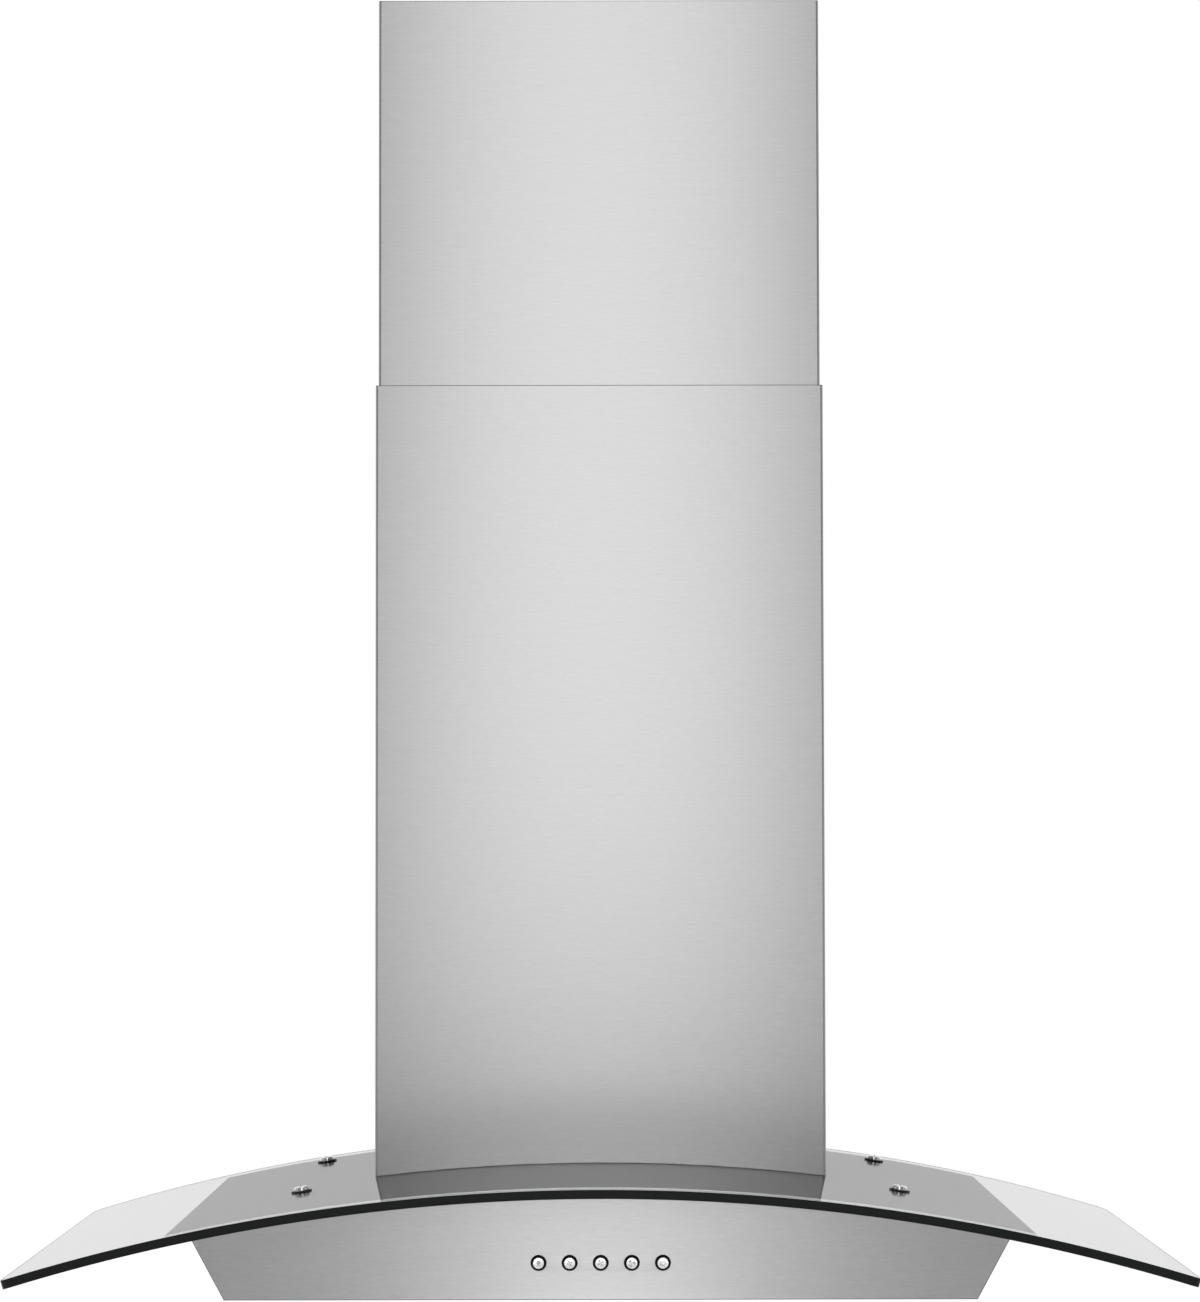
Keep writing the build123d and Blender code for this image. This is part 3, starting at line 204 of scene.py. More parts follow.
def noise(tree, waves, detail=3.0, roughness=0.6):
    """Noise with a number of waves per metre along X, Y and Z."""
    place = add(tree, "TexCoord").outputs["Object"]
    mapped = add(tree, "Mapping", {"Vector": place, "Scale": waves}).outputs["Vector"]
    inputs = {"Vector": mapped, "Scale": 1.0, "Detail": detail, "Roughness": roughness}
    return add(tree, "TexNoise", inputs).outputs["Fac"]


def spread(tree, value, low, high, start=0.3, end=0.7):
    """A value spread between two limits, from where it passes start to where it passes end."""
    inputs = {"Value": value, "From Min": start, "From Max": end, "To Min": low, "To Max": high}
    return add(tree, "MapRange", inputs).outputs["Result"]


def shade(color, change):
    """A colour made lighter or darker by a share of it."""
    return (*(min(1.0, c * (1.0 + change)) for c in color), 1.0)


def vary_color(tree, shader, value, color, change):
    """A base colour that a noise value darkens and lightens by up to a share of it."""
    mix = add(tree, "Mix", data_type="RGBA")
    tree.links.new(spread(tree, value, 0.0, 1.0), mix.inputs["Factor"])
    mix.inputs["A"].default_value = shade(color, -change)
    mix.inputs["B"].default_value = shade(color, change)
    tree.links.new(mix.outputs["Result"], shader.inputs["Base Color"])


def vary_roughness(tree, shader, value, low, high):
    """A roughness that follows a noise value between two limits."""
    tree.links.new(spread(tree, value, low, high), shader.inputs["Roughness"])


def bumped(tree, shader, height, depth, strength):
    """Surface relief of a depth in metres."""
    inputs = {"Height": height, "Distance": depth, "Strength": strength}
    tree.links.new(add(tree, "Bump", inputs).outputs["Normal"], shader.inputs["Normal"])


# ---- Finishes ----
def brushed(name, gray, grain, axis, roughness=0.31, low_angle=1.0):
    """Brushed steel. grain is the number of waves per metre along X, Y and Z, axis is what the grain runs
    round, and low_angle is how bright it mirrors at a low angle."""
    color = (gray, gray, gray)
    tree, shader = new_material(
        name, color, Metallic=1.0, Anisotropic=0.55, Anisotropic_Rotation=0.25,
        Specular_Tint=(low_angle, low_angle, low_angle, 1.0),
    )
    fine = noise(tree, grain, detail=4.0, roughness=0.7)
    broad = noise(tree, [waves * BROAD_WAVES for waves in grain], detail=2.0)
    both = add(tree, "Mix", {"Factor": BROAD_SHARE, "A": fine, "B": broad}).outputs["Result"]
    vary_color(tree, shader, both, color, 0.07)
    vary_roughness(tree, shader, both, roughness - 0.03, roughness + 0.03)
    tangent = add(tree, "Tangent", direction_type="RADIAL", axis=axis).outputs["Tangent"]
    tree.links.new(tangent, shader.inputs["Tangent"])
    bumped(tree, shader, fine, depth=0.00001, strength=0.12)


def plain_metal(name, color, roughness, wave, change=0.06, relief=0.00002):
    """Unbrushed metal with a faint mottle of a number of waves per metre."""
    tree, shader = new_material(name, color, Metallic=1.0)
    mottle = noise(tree, (wave, wave, wave), detail=5.0)
    vary_color(tree, shader, mottle, color, change)
    vary_roughness(tree, shader, mottle, roughness * 0.8, roughness * 1.25)
    bumped(tree, shader, mottle, relief, strength=0.5)


def moulded(name, color, roughness, wave=1400.0):
    """Plastic or rubber with the fine texture of its mould."""
    tree, shader = new_material(name, color)
    texture = noise(tree, (wave, wave, wave), detail=2.0)
    cloud = noise(tree, (CLOUD_WAVES, CLOUD_WAVES, CLOUD_WAVES))
    vary_color(tree, shader, cloud, color, 0.08)
    vary_roughness(tree, shader, cloud, roughness - 0.05, roughness + 0.08)
    bumped(tree, shader, texture, depth=0.00004, strength=0.6)


def glazed(name, color, wave, smoothest, roughest, **settings):
    """One colour without relief, its gloss uneven between two roughnesses."""
    tree, shader = new_material(name, color, **settings)
    vary_roughness(tree, shader, noise(tree, (wave, wave, wave)), smoothest, roughest)


def frosted(name, color):
    """Lamp glass, grained so that it scatters the light."""
    tree, shader = new_material(name, color, Roughness=0.35, Transmission_Weight=0.3)
    frost = noise(tree, (FROST_WAVES, FROST_WAVES, FROST_WAVES), detail=1.0)
    bumped(tree, shader, frost, depth=0.0001, strength=0.6)


def clear_glass(name, most_mirrored):
    """Clear sheet glass: it bends what is seen through it, and mirrors more at a low angle."""
    tree, mirror = new_material(name, MIRROR_TINT, Metallic=1.0, Roughness=0.0)
    inputs = {"Color": GLASS_TINT, "Roughness": 0.0, "IOR": GLASS_IOR}
    bent = add(tree, "BsdfRefraction", inputs).outputs["BSDF"]
    fresnel = add(tree, "Fresnel", {"IOR": GLASS_IOR}).outputs["Fac"]
    share = combined(tree, "MINIMUM", fresnel, most_mirrored)
    seen = add(tree, "MixShader", {0: share, 1: bent, 2: mirror.outputs["BSDF"]}).outputs[0]
    shadow = add(tree, "LightPath").outputs["Is Shadow Ray"]
    passed = add(tree, "BsdfTransparent", {"Color": GLASS_TINT}).outputs["BSDF"]
    surface = add(tree, "MixShader", {0: shadow, 1: seen, 2: passed}).outputs[0]
    tree.links.new(surface, tree.nodes["Material Output"].inputs["Surface"])
    finishes[name].diffuse_color = (0.8, 0.85, 0.84, 0.3)


brushed("steel_upright", STEEL_GRAY, UPRIGHT_GRAIN, "Z")
brushed("steel_flat", STEEL_GRAY, FLAT_GRAIN, "Y")
# painted shade: the top plate's steel is a darker gray than the rest, for the shade it lies in under the
# glass; its dimmer mirroring at a low angle partly stands for that shade too
brushed("steel_painted_shade", SHADED_GRAY, FLAT_GRAIN, "Y", roughness=0.36, low_angle=0.3)
plain_metal("steel_sheet", (0.56, 0.57, 0.58), 0.38, 60.0)
# painted shade: the rounded edges of the chimneys and side panels, and the front panel's outline and button
# holes, are near-black metal for the thin shadow lines along them
plain_metal("sheet_edge_painted_shade", (0.16, 0.16, 0.16), 0.5, 900.0)
# painted highlight: the top plate's rounded edges are much lighter metal than its steel, for the bright line
# along its front, over the real gloss of their curve
plain_metal("plate_edge_painted_highlight", (0.90, 0.90, 0.90), 0.3, 900.0, change=0.03)
plain_metal("chrome", (0.80, 0.80, 0.80), 0.08, 400.0, change=0.02, relief=0.000002)
plain_metal("zinc_screws", (0.62, 0.62, 0.60), 0.28, 900.0)
plain_metal("filter_aluminium", (0.68, 0.68, 0.69), 0.33, 120.0)
plain_metal("cast_aluminium", (0.55, 0.55, 0.56), 0.5, 700.0, relief=0.0001)
plain_metal("spring_steel", (0.58, 0.58, 0.57), 0.2, 600.0)
plain_metal("motor_steel", (0.34, 0.35, 0.36), 0.4, 300.0)
plain_metal("copper", (0.55, 0.23, 0.10), 0.3, 900.0)
moulded("rubber", (0.012, 0.012, 0.012), 0.7, wave=900.0)
moulded("black_plastic", (0.022, 0.022, 0.023), 0.45)
moulded("grey_plastic", (0.17, 0.175, 0.18), 0.42)
moulded("white_plastic", (0.66, 0.66, 0.63), 0.40)
moulded("circuit_board", (0.03, 0.17, 0.07), 0.35)
frosted("lamp_glass", (0.86, 0.86, 0.84))
clear_glass("clear_glass", GLASS_MIRROR)
clear_glass("clear_side", SIDE_MIRROR)
# painted shade: the glass's front and end edges are near black, where real glass looks dark by what it
# reflects inside
glazed("glass_edge_painted_shade", (0.008, 0.009, 0.009), 40.0, 0.08, 0.18, Specular_IOR_Level=0.18)
# painted highlight: the arris along the tops of those edges is light gray, where real glass shows a bright
# reflection
glazed("glass_arris_painted_highlight", (0.80, 0.83, 0.82), 90.0, 0.18, 0.32)
plain_metal("button_metal", (0.80, 0.80, 0.80), 0.25, 900.0, change=0.03)
# the black ring round each button's metal face is partly black plastic and partly painted shade for the
# shadow gap round the button
glazed("button_black", (0.008, 0.008, 0.008), 900.0, 0.35, 0.55, Specular_IOR_Level=0.12)
glazed("button_ink", (0.50, 0.50, 0.505), 900.0, 0.4, 0.6)

STEEL_FINISHES = {  # of the nodes in the slot brushed_steel
    "front_panel": "steel_upright",
    "side_panel_right": "steel_upright",
    "side_panel_left": "steel_upright",
    "lower_chimney": "steel_upright",
    "upper_chimney": "steel_upright",
    "bottom_pan": "steel_flat",
    # the top plate's finish holds painted shade
    "top_plate": "steel_painted_shade",
}


def dress_frame():
    """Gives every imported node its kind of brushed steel, or else the finish of its slot."""
    for part in frame["record"]["subparts"]:
        materials = nodes[part["node"]].data.materials
        materials.clear()
        materials.append(finishes[STEEL_FINISHES.get(part["node"], part["material_slot"])])


# ---- Meshes ----
def new_piece(name, mesh, body, slot, replaced=(), wears=()):
    """An object that rides on a body, in its slot's finish or else in those that it wears, by name."""
    piece = bpy.data.objects.new(name, mesh)
    bpy.context.scene.collection.objects.link(piece)
    for finish in wears or (slot,):
        mesh.materials.append(finishes[finish])
    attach(piece, body)
    if replaced:
        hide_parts(*replaced)
    return piece


def finished_mesh(name, bm, smooth_angle=30.0):
    """A mesh from bmesh data, shaded smooth but for edges sharper than an angle, or flat at 0."""
    mesh = bpy.data.meshes.new(name)
    bm.to_mesh(mesh)
    bm.free()
    if smooth_angle:
        mesh.shade_smooth()
        mesh.set_sharp_from_angle(angle=radians(smooth_angle))
    return mesh


def middle_of(node):
    """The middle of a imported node's box."""
    low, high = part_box(node)
    return (low + high) / 2


def sharp_edges(bm, angle):
    """Edges at which two faces meet more sharply than an angle."""
    return [e for e in bm.edges if e.is_manifold and e.calc_face_angle() > radians(angle)]


def bevel(bm, edges, size, material=0):
    """Rounds edges, the new faces in one of the mesh's materials."""
    bmesh.ops.bevel(
        bm, geom=edges, offset=size, segments=2, profile=0.5, affect="EDGES", clamp_overlap=False,
        material=material,
    )


def rounded(corners, steps=8):
    """Outline through (x, y, radius) corners, each turned by an arc."""
    outline = []
    for i, (x, y, radius) in enumerate(corners):
        here = Vector((x, y))
        if radius == 0:
            outline.append(here)
            continue
        before = (Vector(corners[i - 1][:2]) - here).normalized()
        after = (Vector(corners[(i + 1) % len(corners)][:2]) - here).normalized()
        half = before.angle(after) / 2
        centre = here + (before + after).normalized() * radius / sin(half)
        start = here + before * radius / tan(half) - centre
        end = here + after * radius / tan(half) - centre
        turn = start.angle(end)
        for k in range(steps + 1):
            share = k / steps
            outline.append(centre + (start * sin((1 - share) * turn) + end * sin(share * turn)) / sin(turn))
    return outline


def circle(x, y, radius, count=24):
    """Outline round a centre."""
    turns = [2 * pi * i / count for i in range(count)]
    return [Vector((x + radius * cos(t), y + radius * sin(t))) for t in turns]


def lathe(bm, centre, profile, sides=64):
    """Turned shape from (radius, z) points about a vertical axis, closed on the axis."""
    turns = [2 * pi * i / sides for i in range(sides)]
    rings = []
    for radius, z in profile:
        if radius == 0:
            rings.append([bm.verts.new((centre.x, centre.y, z))])
            continue
        spots = [(centre.x + radius * cos(t), centre.y + radius * sin(t), z) for t in turns]
        rings.append([bm.verts.new(spot) for spot in spots])
    for a, b in zip(rings, rings[1:]):
        for i in range(sides):
            j = (i + 1) % sides
            corners = [a[i % len(a)], a[j % len(a)], b[j % len(b)], b[i % len(b)]]
            bm.faces.new(list(dict.fromkeys(corners)))


# ---- Glass canopy ----
def arched(x, y, depth):
    """Point at a depth under the glass's top surface."""
    turn = asin(x / ARC_RADIUS)
    radius = ARC_RADIUS - depth
    return Vector((radius * sin(turn), y, glass_high.z - ARC_RADIUS + radius * cos(turn)))


def glass_face(face):
    """CLEAR for the broad surfaces; a near-black finish of painted shade for the front and end edges, a light
    finish of painted highlight for the arris along their tops, and SIDE for the edges at the back, notch and
    holes."""
    middle = face.calc_center_median()
    outward = Vector((middle.x, 0, sqrt(ARC_RADIUS**2 - middle.x**2))).normalized()
    level = face.normal.dot(outward)
    at_front = middle.y < glass_low.y + FRONT_CORNER
    at_end = abs(middle.x) > glass_high.x - FRONT_CORNER and middle.y < glass_high.y - BACK_CORNER
    if abs(level) > BROAD_LEVEL:
        return CLEAR
    if not (at_front or at_end):
        return SIDE
    return PAINTED_HIGHLIGHT_ARRIS if level > ARRIS_LEVEL else PAINTED_SHADE_EDGE


def glass_outline():
    """The slab's corners as (x, y, radius), round its notch."""
    low, high = glass_low, glass_high
    return [
        (low.x, low.y, FRONT_CORNER),
        (high.x, low.y, FRONT_CORNER),
        (high.x, high.y, BACK_CORNER),
        (NOTCH_HALF, high.y, 0),
        (NOTCH_HALF, NOTCH_FRONT_Y, NOTCH_CORNER),
        (-NOTCH_HALF, NOTCH_FRONT_Y, NOTCH_CORNER),
        (-NOTCH_HALF, high.y, 0),
        (low.x, high.y, BACK_CORNER),
    ]


def glass_canopy():
    """The arched slab with its arrises, cut out flat, then bent and thickened."""
    loops = [rounded(glass_outline())]
    loops += [circle(x, y, GLASS_HOLE) for x in (-SCREW_X, SCREW_X) for y in SCREW_YS]
    bm = bmesh.new()
    for loop in loops:
        ring = [bm.verts.new((p.x, p.y, 0)) for p in loop]
        for a, b in zip(ring, ring[1:] + ring[:1]):
            bm.edges.new((a, b))
    bmesh.ops.triangle_fill(bm, use_beauty=True, edges=bm.edges[:])
    for i in range(1, GLASS_COLUMNS):
        x = glass_low.x + (glass_high.x - glass_low.x) * i / GLASS_COLUMNS
        geometry = bm.verts[:] + bm.edges[:] + bm.faces[:]
        bmesh.ops.bisect_plane(bm, geom=geometry, dist=SAME_POINT, plane_co=(x, 0, 0), plane_no=(1, 0, 0))
    top = bm.verts[:]
    grown = bmesh.ops.extrude_face_region(bm, geom=bm.faces[:])
    under = [v for v in grown["geom"] if isinstance(v, bmesh.types.BMVert)]
    for v in under:
        v.co = arched(v.co.x, v.co.y, GLASS_THICKNESS)
    for v in top:
        v.co = arched(v.co.x, v.co.y, 0)
    bmesh.ops.recalc_face_normals(bm, faces=bm.faces[:])
    bevel(bm, sharp_edges(bm, RIM_ANGLE), ARRIS)
    bm.normal_update()
    for face in bm.faces:
        face.material_index = glass_face(face)
    name = "glass_canopy_clear"
    # with painted shade on the front and end edges and a painted highlight on their arris
    wears = ("clear_glass", "glass_edge_painted_shade", "glass_arris_painted_highlight", "clear_side")
    new_piece(name, finished_mesh(name, bm, 10.0), "root", "clear_glass", ["glass_canopy"], wears)


# ---- Sheet metal ----
def softened(node, body, edge_finish, size=SHEET_ROUND, chosen=lambda edge: True):
    """A copy of a packed sheet, in place of it, its chosen edges rounded and in a finish of their own."""
    bm = bmesh.new()
    bm.from_mesh(nodes[node].data)
    bmesh.ops.remove_doubles(bm, verts=bm.verts[:], dist=SAME_POINT)
    bmesh.ops.dissolve_limit(bm, angle_limit=radians(FLAT_ANGLE), verts=bm.verts[:], edges=bm.edges[:])
    bevel(bm, [e for e in sharp_edges(bm, CUT_ANGLE) if chosen(e)], size, material=1)
    bmesh.ops.triangulate(bm, faces=[f for f in bm.faces if len(f.verts) > 4])
    name = node + "_soft"
    wears = (STEEL_FINISHES[node], edge_finish)
    piece = new_piece(name, finished_mesh(name, bm, 35.0), body, "brushed_steel", [node], wears)
    piece.modifiers.new("flat faces", "WEIGHTED_NORMAL").keep_sharp = True


def above_foot(edge):
    """Whether an edge of the lower chimney reaches above its foot."""
    return max(v.co.z for v in edge.verts) > glass_high.z + FOOT_HEIGHT


def on_front(edge):
    """Whether an edge of the front panel is part of its front's outline or of a button hole."""
    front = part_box("front_panel")[0].y
    if any(abs(v.co.y - front) >= SAME_PLANE for v in edge.verts):
        return False
    row = middle_of("power_button").z
    return edge.calc_length() > OUTLINE_EDGE or all(abs(v.co.z - row) < HOLE_REACH for v in edge.verts)


# ---- Buttons ----
def button_profile(low, high):
    """(radius, y) points of a button, from the middle of its face to the end of its stem."""
    flange_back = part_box("button_springs")[0].y
    flange_front = flange_back - FLANGE_DEPTH
    flange_radius = (high.x - low.x) / 2
    profile = [(0, low.y + FACE_DISH), (FACE_RADIUS / 2, low.y + FACE_DISH / 2)]
    profile.append((FACE_RADIUS * FACE_RIM, low.y))
    for i in range(CAP_STEPS + 1):
        turn = radians(90 - 90 * i / CAP_STEPS)
        radius = CAP_RADIUS - CAP_ROUND * (1 - cos(turn))
        profile.append((radius, low.y + CAP_BACK + CAP_ROUND * (1 - sin(turn))))
    profile += [(CAP_RADIUS, flange_front), (flange_radius, flange_front), (flange_radius, flange_back)]
    return profile + [(STEM_RADIUS, flange_back), (STEM_RADIUS, high.y), (0, high.y)]


def buttons():
    """Black buttons on their stems, each with a satin metal face."""
    upright_to_y = Matrix(((1, 0, 0, 0), (0, 0, 1, 0), (0, 1, 0, 0), (0, 0, 0, 1)))
    for button in BUTTONS:
        low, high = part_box(button)
        middle = (low + high) / 2
        bm = bmesh.new()
        lathe(bm, Vector(), button_profile(low, high), sides=48)
        for face in bm.faces:
            spot = face.calc_center_median()
            metal = spot.z < low.y + FACE_REACH and spot.xy.length < FACE_RADIUS
            face.material_index = 0 if metal else 1
        place = Matrix.Translation((middle.x, 0, middle.z)) @ upright_to_y
        bmesh.ops.transform(bm, matrix=place, verts=bm.verts[:])
        bmesh.ops.recalc_face_normals(bm, faces=bm.faces[:])
        name = button + "_capped"
        # the black body's ring round the face is partly painted shade for the shadow gap
        wears = ("button_metal", "button_black")
        new_piece(name, finished_mesh(name, bm, 35.0), button, "button_metal", [button], wears)


def flat_shape(bm, outline, place):
    """Thin printed shape on a button's cap, from (across, up) points in millimetres."""
    front = [bm.verts.new(place + Vector((x / 1000, 0, z / 1000))) for x, z in outline]
    face = bm.faces.new(front)
    grown = bmesh.ops.extrude_face_region(bm, geom=[face])
    moved = [v for v in grown["geom"] if isinstance(v, bmesh.types.BMVert)]
    bmesh.ops.translate(bm, verts=moved, vec=(0, -PRINT_THICKNESS, 0))


def arc_points(cx, cz, radius, start, end, steps):
    """Points along an arc between two angles in degrees."""
    turns = [radians(start + (end - start) * i / steps) for i in range(steps + 1)]
    return [(cx + radius * cos(a), cz + radius * sin(a)) for a in turns]


def bar(half, start, end):
    """An upright bar of half a width, from one height to another."""
    return [(-half, start), (half, start), (half, end), (-half, end)]


def bulb_icon():
    """A lamp bulb over its cap and its contact, as are all icons in millimetres."""
    bulb = arc_points(0, 0.45, 1.35, -60, 240, 20) + [(-0.6, -1.2), (0.6, -1.2)]
    return [bulb, bar(0.6, -1.45, -1.75), bar(0.35, -1.95, -2.15)]


def fan_icon(size, blades):
    """A fan wheel of swept blades round a hub."""
    shapes = [arc_points(0, 0, size * FAN_HUB, 0, 345, 15)]
    for i in range(blades):
        turn = 90 + 360 / blades * i
        tip = arc_points(0, 0, size, turn, turn + TIP_SWEEP / blades, 6)
        start, end = (turn + sweep / blades for sweep in ROOT_SWEEP)
        shapes.append(tip + arc_points(0, 0, size * FAN_ROOT, end, start, 4))
    return shapes


def power_icon():
    """A ring open at the top, with a bar in the gap."""
    ring = arc_points(0, -0.1, 1.75, 125, 415, 24) + arc_points(0, -0.1, 1.25, 415, 125, 24)
    return [ring, bar(0.25, 0.3, 2.0)]


def button_prints():
    """Each button's icon: the lamp, three speeds by a growing fan, and power."""
    icons = [bulb_icon(), fan_icon(1.6, 4), fan_icon(2.0, 4), fan_icon(2.4, 3), power_icon()]
    for button, shapes in zip(BUTTONS, icons):
        middle = middle_of(button)
        place = Vector((middle.x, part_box(button)[0].y, middle.z))
        bm = bmesh.new()
        for outline in shapes:
            flat_shape(bm, outline, place)
        bmesh.ops.recalc_face_normals(bm, faces=bm.faces[:])
        name = button + "_print"
        new_piece(name, finished_mesh(name, bm), button, "grey_plastic", wears=["button_ink"])


# ---- Springs ----
def coil(start, end, radius, wire, turns, sides, steps):
    """Coil spring along Y of a wire's radius, its end turns closed up, with a number of steps to a turn."""
    bm = bmesh.new()
    length = end.y - start.y - 2 * wire
    count = turns * steps
    angles = [2 * pi * k / sides for k in range(sides)]
    rings = []
    for i in range(count + 1):
        turn = 2 * pi * i / steps
        share = min(max((i - steps) / (count - 2 * steps), 0), 1)
        closed = wire * 2 * (min(i, steps) + max(i - count + steps, 0)) / (2 * steps)
        y = start.y + wire + share * (length - 2 * wire) + closed
        outward = Vector((cos(turn), 0, sin(turn)))
        centre = Vector((start.x, y, start.z)) + outward * radius
        spots = [centre + (outward * cos(a) + Vector((0, sin(a), 0))) * wire for a in angles]
        rings.append([bm.verts.new(spot) for spot in spots])
    for a, b in zip(rings, rings[1:]):
        for k in range(sides):
            bm.faces.new((a[k], a[(k + 1) % sides], b[(k + 1) % sides], b[k]))
    bm.faces.new(rings[0])
    bm.faces.new(rings[-1][::-1])
    bmesh.ops.recalc_face_normals(bm, faces=bm.faces[:])
    return bm


def spring(name, node, body, x, wire, turns, sides=8, steps=20):
    """A coil in place of a packed spring, or of one in a row of them."""
    low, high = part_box(node)
    z = (low.z + high.z) / 2
    radius = (high.z - low.z) / 2 - wire
    bm = coil(Vector((x, low.y, z)), Vector((x, high.y, z)), radius, wire, turns, sides, steps)
    piece = new_piece(name, finished_mesh(name, bm, 60.0), body, "spring_steel", [node])
    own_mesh(piece)


def springs():
    """The springs of the buttons and of the filters' latches."""
    for button in BUTTONS:
        x = middle_of(button).x
        joint = button + "_press"
        spring(button + "_spring", "button_springs", "root", x, BUTTON_WIRE, BUTTON_TURNS)
    for side in SIDES:
        node = "latch_spring_" + side
        x = middle_of(node).x
        body, joint = "filter_" + side, f"latch_{side}_pull"
        spring(node + "_coil", node, body, x, LATCH_WIRE, LATCH_TURNS, sides=6, steps=14)


# ---- Grease filters ----
def strand(bm, a, b):
    """One strand of expanded metal from a to b, its flat turned by a tilt."""
    upward = Vector((0, 0, 1))
    tilt = radians(STRAND_TILT)
    along = (b - a).normalized()
    across = along.cross(upward).normalized()
    across = (across * cos(tilt) + upward * sin(tilt)) * STRAND_WIDTH / 2
    up = along.cross(across).normalized() * STRAND_THICKNESS / 2
    corners = ((up, across), (up, -across), (-up, -across), (-up, across))
    start, end = [[bm.verts.new(p + u + c) for u, c in corners] for p in (a, b)]
    for k in range(4):
        bm.faces.new((start[k], start[(k + 1) % 4], end[(k + 1) % 4], end[k]))
    bm.faces.new(start[::-1])
    bm.faces.new(end)


def opening(bm, x, y, z, half_x, half_y):
    """The four strands round one opening of the expanded metal."""
    corners = [(x - half_x, y), (x, y + half_y), (x + half_x, y), (x, y - half_y)]
    for start, end in zip(corners, corners[1:] + corners[:1]):
        rise = STRAND_RISE if end[1] > start[1] else -STRAND_RISE
        strand(bm, Vector((*start, z + rise)), Vector((*end, z - rise)))


def expanded_mesh(side):
    """Two crossed layers of expanded aluminium in the filter's frame."""
    node = "filter_mesh_" + side
    low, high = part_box(node)
    lower_layer = (low.z + LAYER_INSET, LONG_PITCH, SHORT_PITCH)
    upper_layer = (high.z - LAYER_INSET, SHORT_PITCH, LONG_PITCH)
    bm = bmesh.new()
    for z, pitch_x, pitch_y in (lower_layer, upper_layer):
        columns = int((high.x - low.x) / pitch_x)
        rows = int((high.y - low.y) / pitch_y)
        step_x = (high.x - low.x) / columns
        step_y = (high.y - low.y) / rows
        for i in range(columns):
            for j in range(rows):
                opening(bm, low.x + (i + 0.5) * step_x, low.y + (j + 0.5) * step_y, z, step_x / 2, step_y / 2)
    mesh = finished_mesh(node, bm, smooth_angle=0)
    new_piece(node + "_strands", mesh, "filter_" + side, "filter_aluminium", [node])


# ---- Lamps ----
def lamp_lenses():
    """Frosted lenses with rings moulded in their outer faces."""
    low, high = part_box("lamp_lenses")
    radius = (high.y - low.y) / 2
    profile = [(0, high.z), (radius, high.z)]
    for i in range(LENS_STEPS + 1):
        r = radius * (1 - i / LENS_STEPS)
        wave = 0.5 - 0.5 * cos(2 * pi * r / LENS_PITCH)
        profile.append((r, low.z + (LENS_GROOVE * wave if r < radius * LENS_RINGED else 0)))
    bm = bmesh.new()
    for side in (-1, 1):
        lathe(bm, Vector((side * (high.x - radius), (low.y + high.y) / 2, 0)), profile)
    bmesh.ops.recalc_face_normals(bm, faces=bm.faces[:])
    name = "lamp_lenses_ringed"
    new_piece(name, finished_mesh(name, bm, 50.0), "root", "lamp_glass", ["lamp_lenses"])


# ---- Studio ----
def area_light(name, place, aim, width, length, watts):
    """A rectangular lamp that shines from its place at what it is aimed at."""
    data = bpy.data.lights.new(name, "AREA")
    data.shape = "RECTANGLE"
    data.size = width
    data.size_y = length
    data.energy = watts
    lamp = bpy.data.objects.new(name, data)
    lamp.location = place
    lamp.rotation_euler = (Vector(aim) - Vector(place)).to_track_quat("-Z", "Y").to_euler()
    bpy.context.scene.collection.objects.link(lamp)


def make_world():
    """White where the camera or glass looks past the hood, and a plain room elsewhere."""
    world = bpy.data.worlds.new("studio")
    bpy.context.scene.world = world
    world.use_nodes = True
    tree = world.node_tree
    path = add(tree, "LightPath")
    direction = add(tree, "TexCoord").outputs["Generated"]
    backward = add(tree, "SeparateXYZ", {"Vector": direction}).outputs["Y"]
    room = spread(tree, backward, ROOM_FRONT, 1.0, *ROOM_TURN)
    around = add(tree, "Mix", {"Factor": path.outputs["Is Glossy Ray"], "A": AMBIENT, "B": room})
    level = add(tree, "Mix", {"Factor": looked_at(tree, path), "A": around.outputs["Result"], "B": 1.0})
    background = tree.nodes["Background"]
    background.inputs["Color"].default_value = (1, 1, 1, 1)
    tree.links.new(level.outputs["Result"], background.inputs["Strength"])


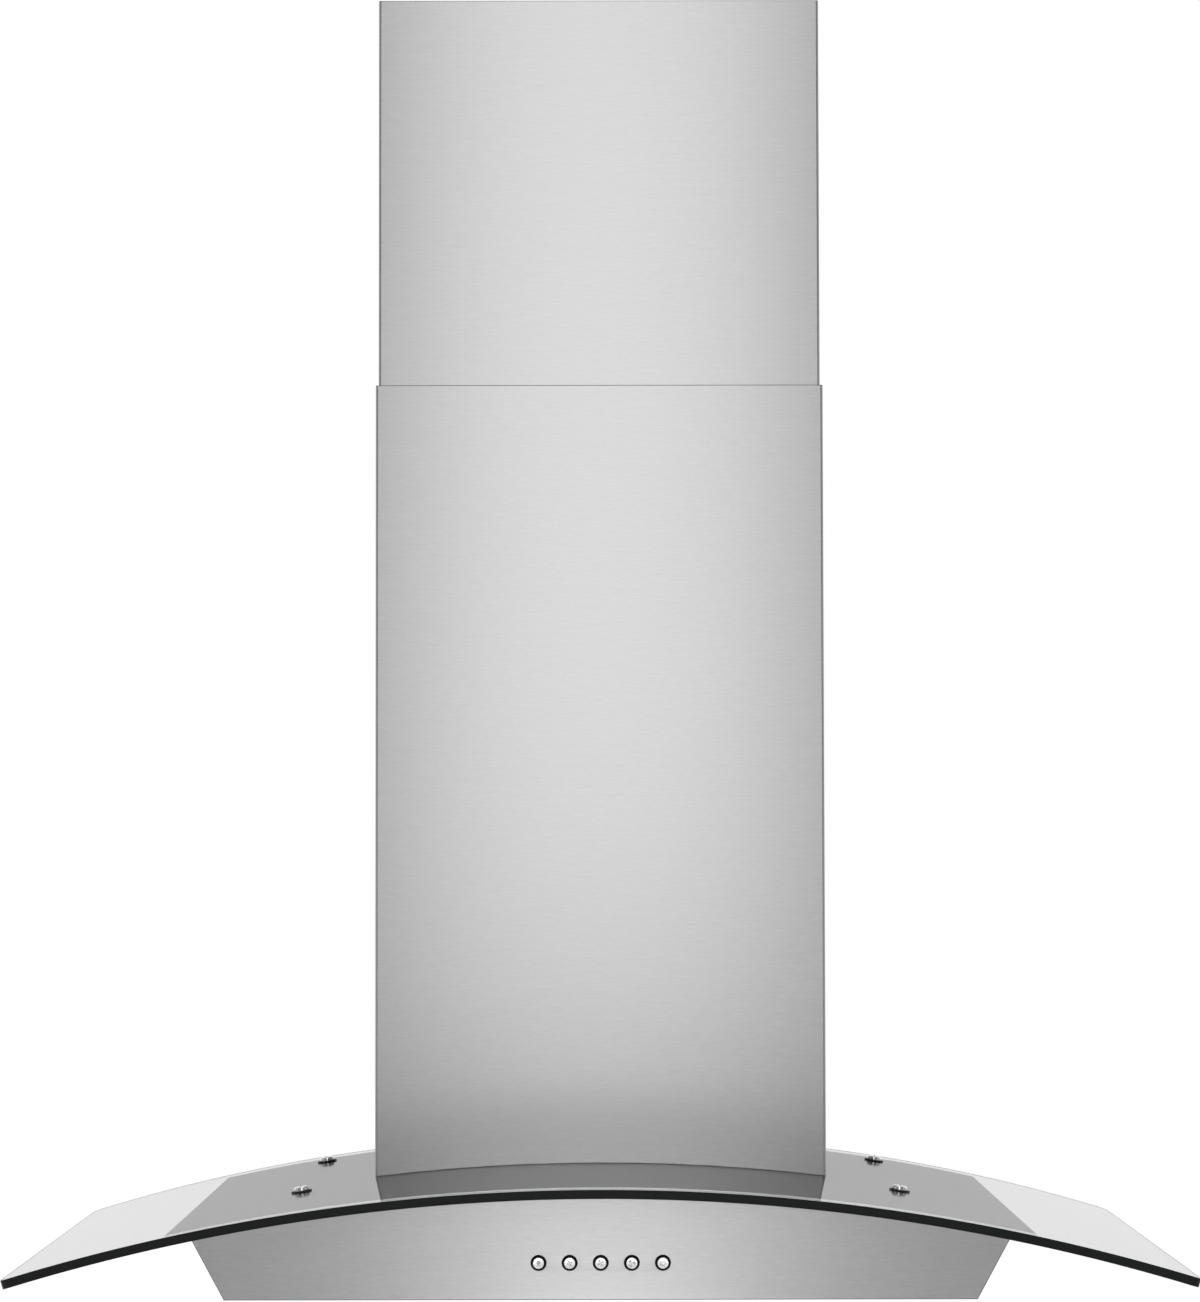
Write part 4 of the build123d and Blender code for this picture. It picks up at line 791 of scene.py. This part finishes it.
def make_floor():
    """Pale floor, white where nothing shades it, and open from below."""
    mesh = bpy.data.meshes.new("floor")
    half = FLOOR_SIZE / 2
    corners = [(-half, -half, 0), (half, -half, 0), (half, half, 0), (-half, half, 0)]
    mesh.from_pydata(corners, [], [range(4)])
    floor = bpy.data.objects.new("floor", mesh)
    floor.location.z = FLOOR_Z
    bpy.context.scene.collection.objects.link(floor)
    tree, shader = new_material("floor", (0.85, 0.85, 0.85), Roughness=0.9, Specular_IOR_Level=0.0)
    path = add(tree, "LightPath")
    mirrored = combined(tree, "MULTIPLY", path.outputs["Is Glossy Ray"], FLOOR_IN_METAL)
    seen = combined(tree, "MAXIMUM", looked_at(tree, path), mirrored)
    glow = combined(tree, "MULTIPLY", seen, FLOOR_GLOW)
    tree.links.new(glow, shader.inputs["Emission Strength"])
    shader.inputs["Emission Color"].default_value = (1, 1, 1, 1)
    back = add(tree, "NewGeometry").outputs["Backfacing"]
    nothing = add(tree, "BsdfTransparent").outputs["BSDF"]
    surface = add(tree, "MixShader", {0: back, 1: shader.outputs["BSDF"], 2: nothing}).outputs[0]
    tree.links.new(surface, tree.nodes["Material Output"].inputs["Surface"])
    mesh.materials.append(finishes["floor"])


def make_camera():
    data = bpy.data.cameras.new("camera")
    data.lens = CAMERA_LENS
    data.sensor_width = SENSOR_WIDTH
    data.clip_end = CLIP_END
    camera = bpy.data.objects.new("camera", data)
    camera.location = CAMERA_PLACE
    camera.rotation_euler = (radians(CAMERA_TILT), radians(CAMERA_ROLL), 0)
    bpy.context.scene.collection.objects.link(camera)
    bpy.context.scene.camera = camera


dress_frame()
glass_canopy()
# the sheets' rounded edges are near black, as painted shade
softened("lower_chimney", "root", "sheet_edge_painted_shade", chosen=above_foot)
softened("front_panel", "root", "sheet_edge_painted_shade", PANEL_ROUND, on_front)
softened("side_panel_right", "root", "sheet_edge_painted_shade")
softened("side_panel_left", "root", "sheet_edge_painted_shade")
softened("upper_chimney", "upper_chimney", "sheet_edge_painted_shade")
# the top plate's rounded edges are light, as a painted highlight
softened("top_plate", "root", "plate_edge_painted_highlight")
buttons()
button_prints()
springs()
for filter_side in SIDES:
    expanded_mesh(filter_side)
lamp_lenses()
make_world()
make_floor()
make_camera()
for lamp_name, lamp_values in LAMPS.items():
    area_light(lamp_name, *lamp_values)

bpy.context.scene.view_settings.view_transform = "Standard"
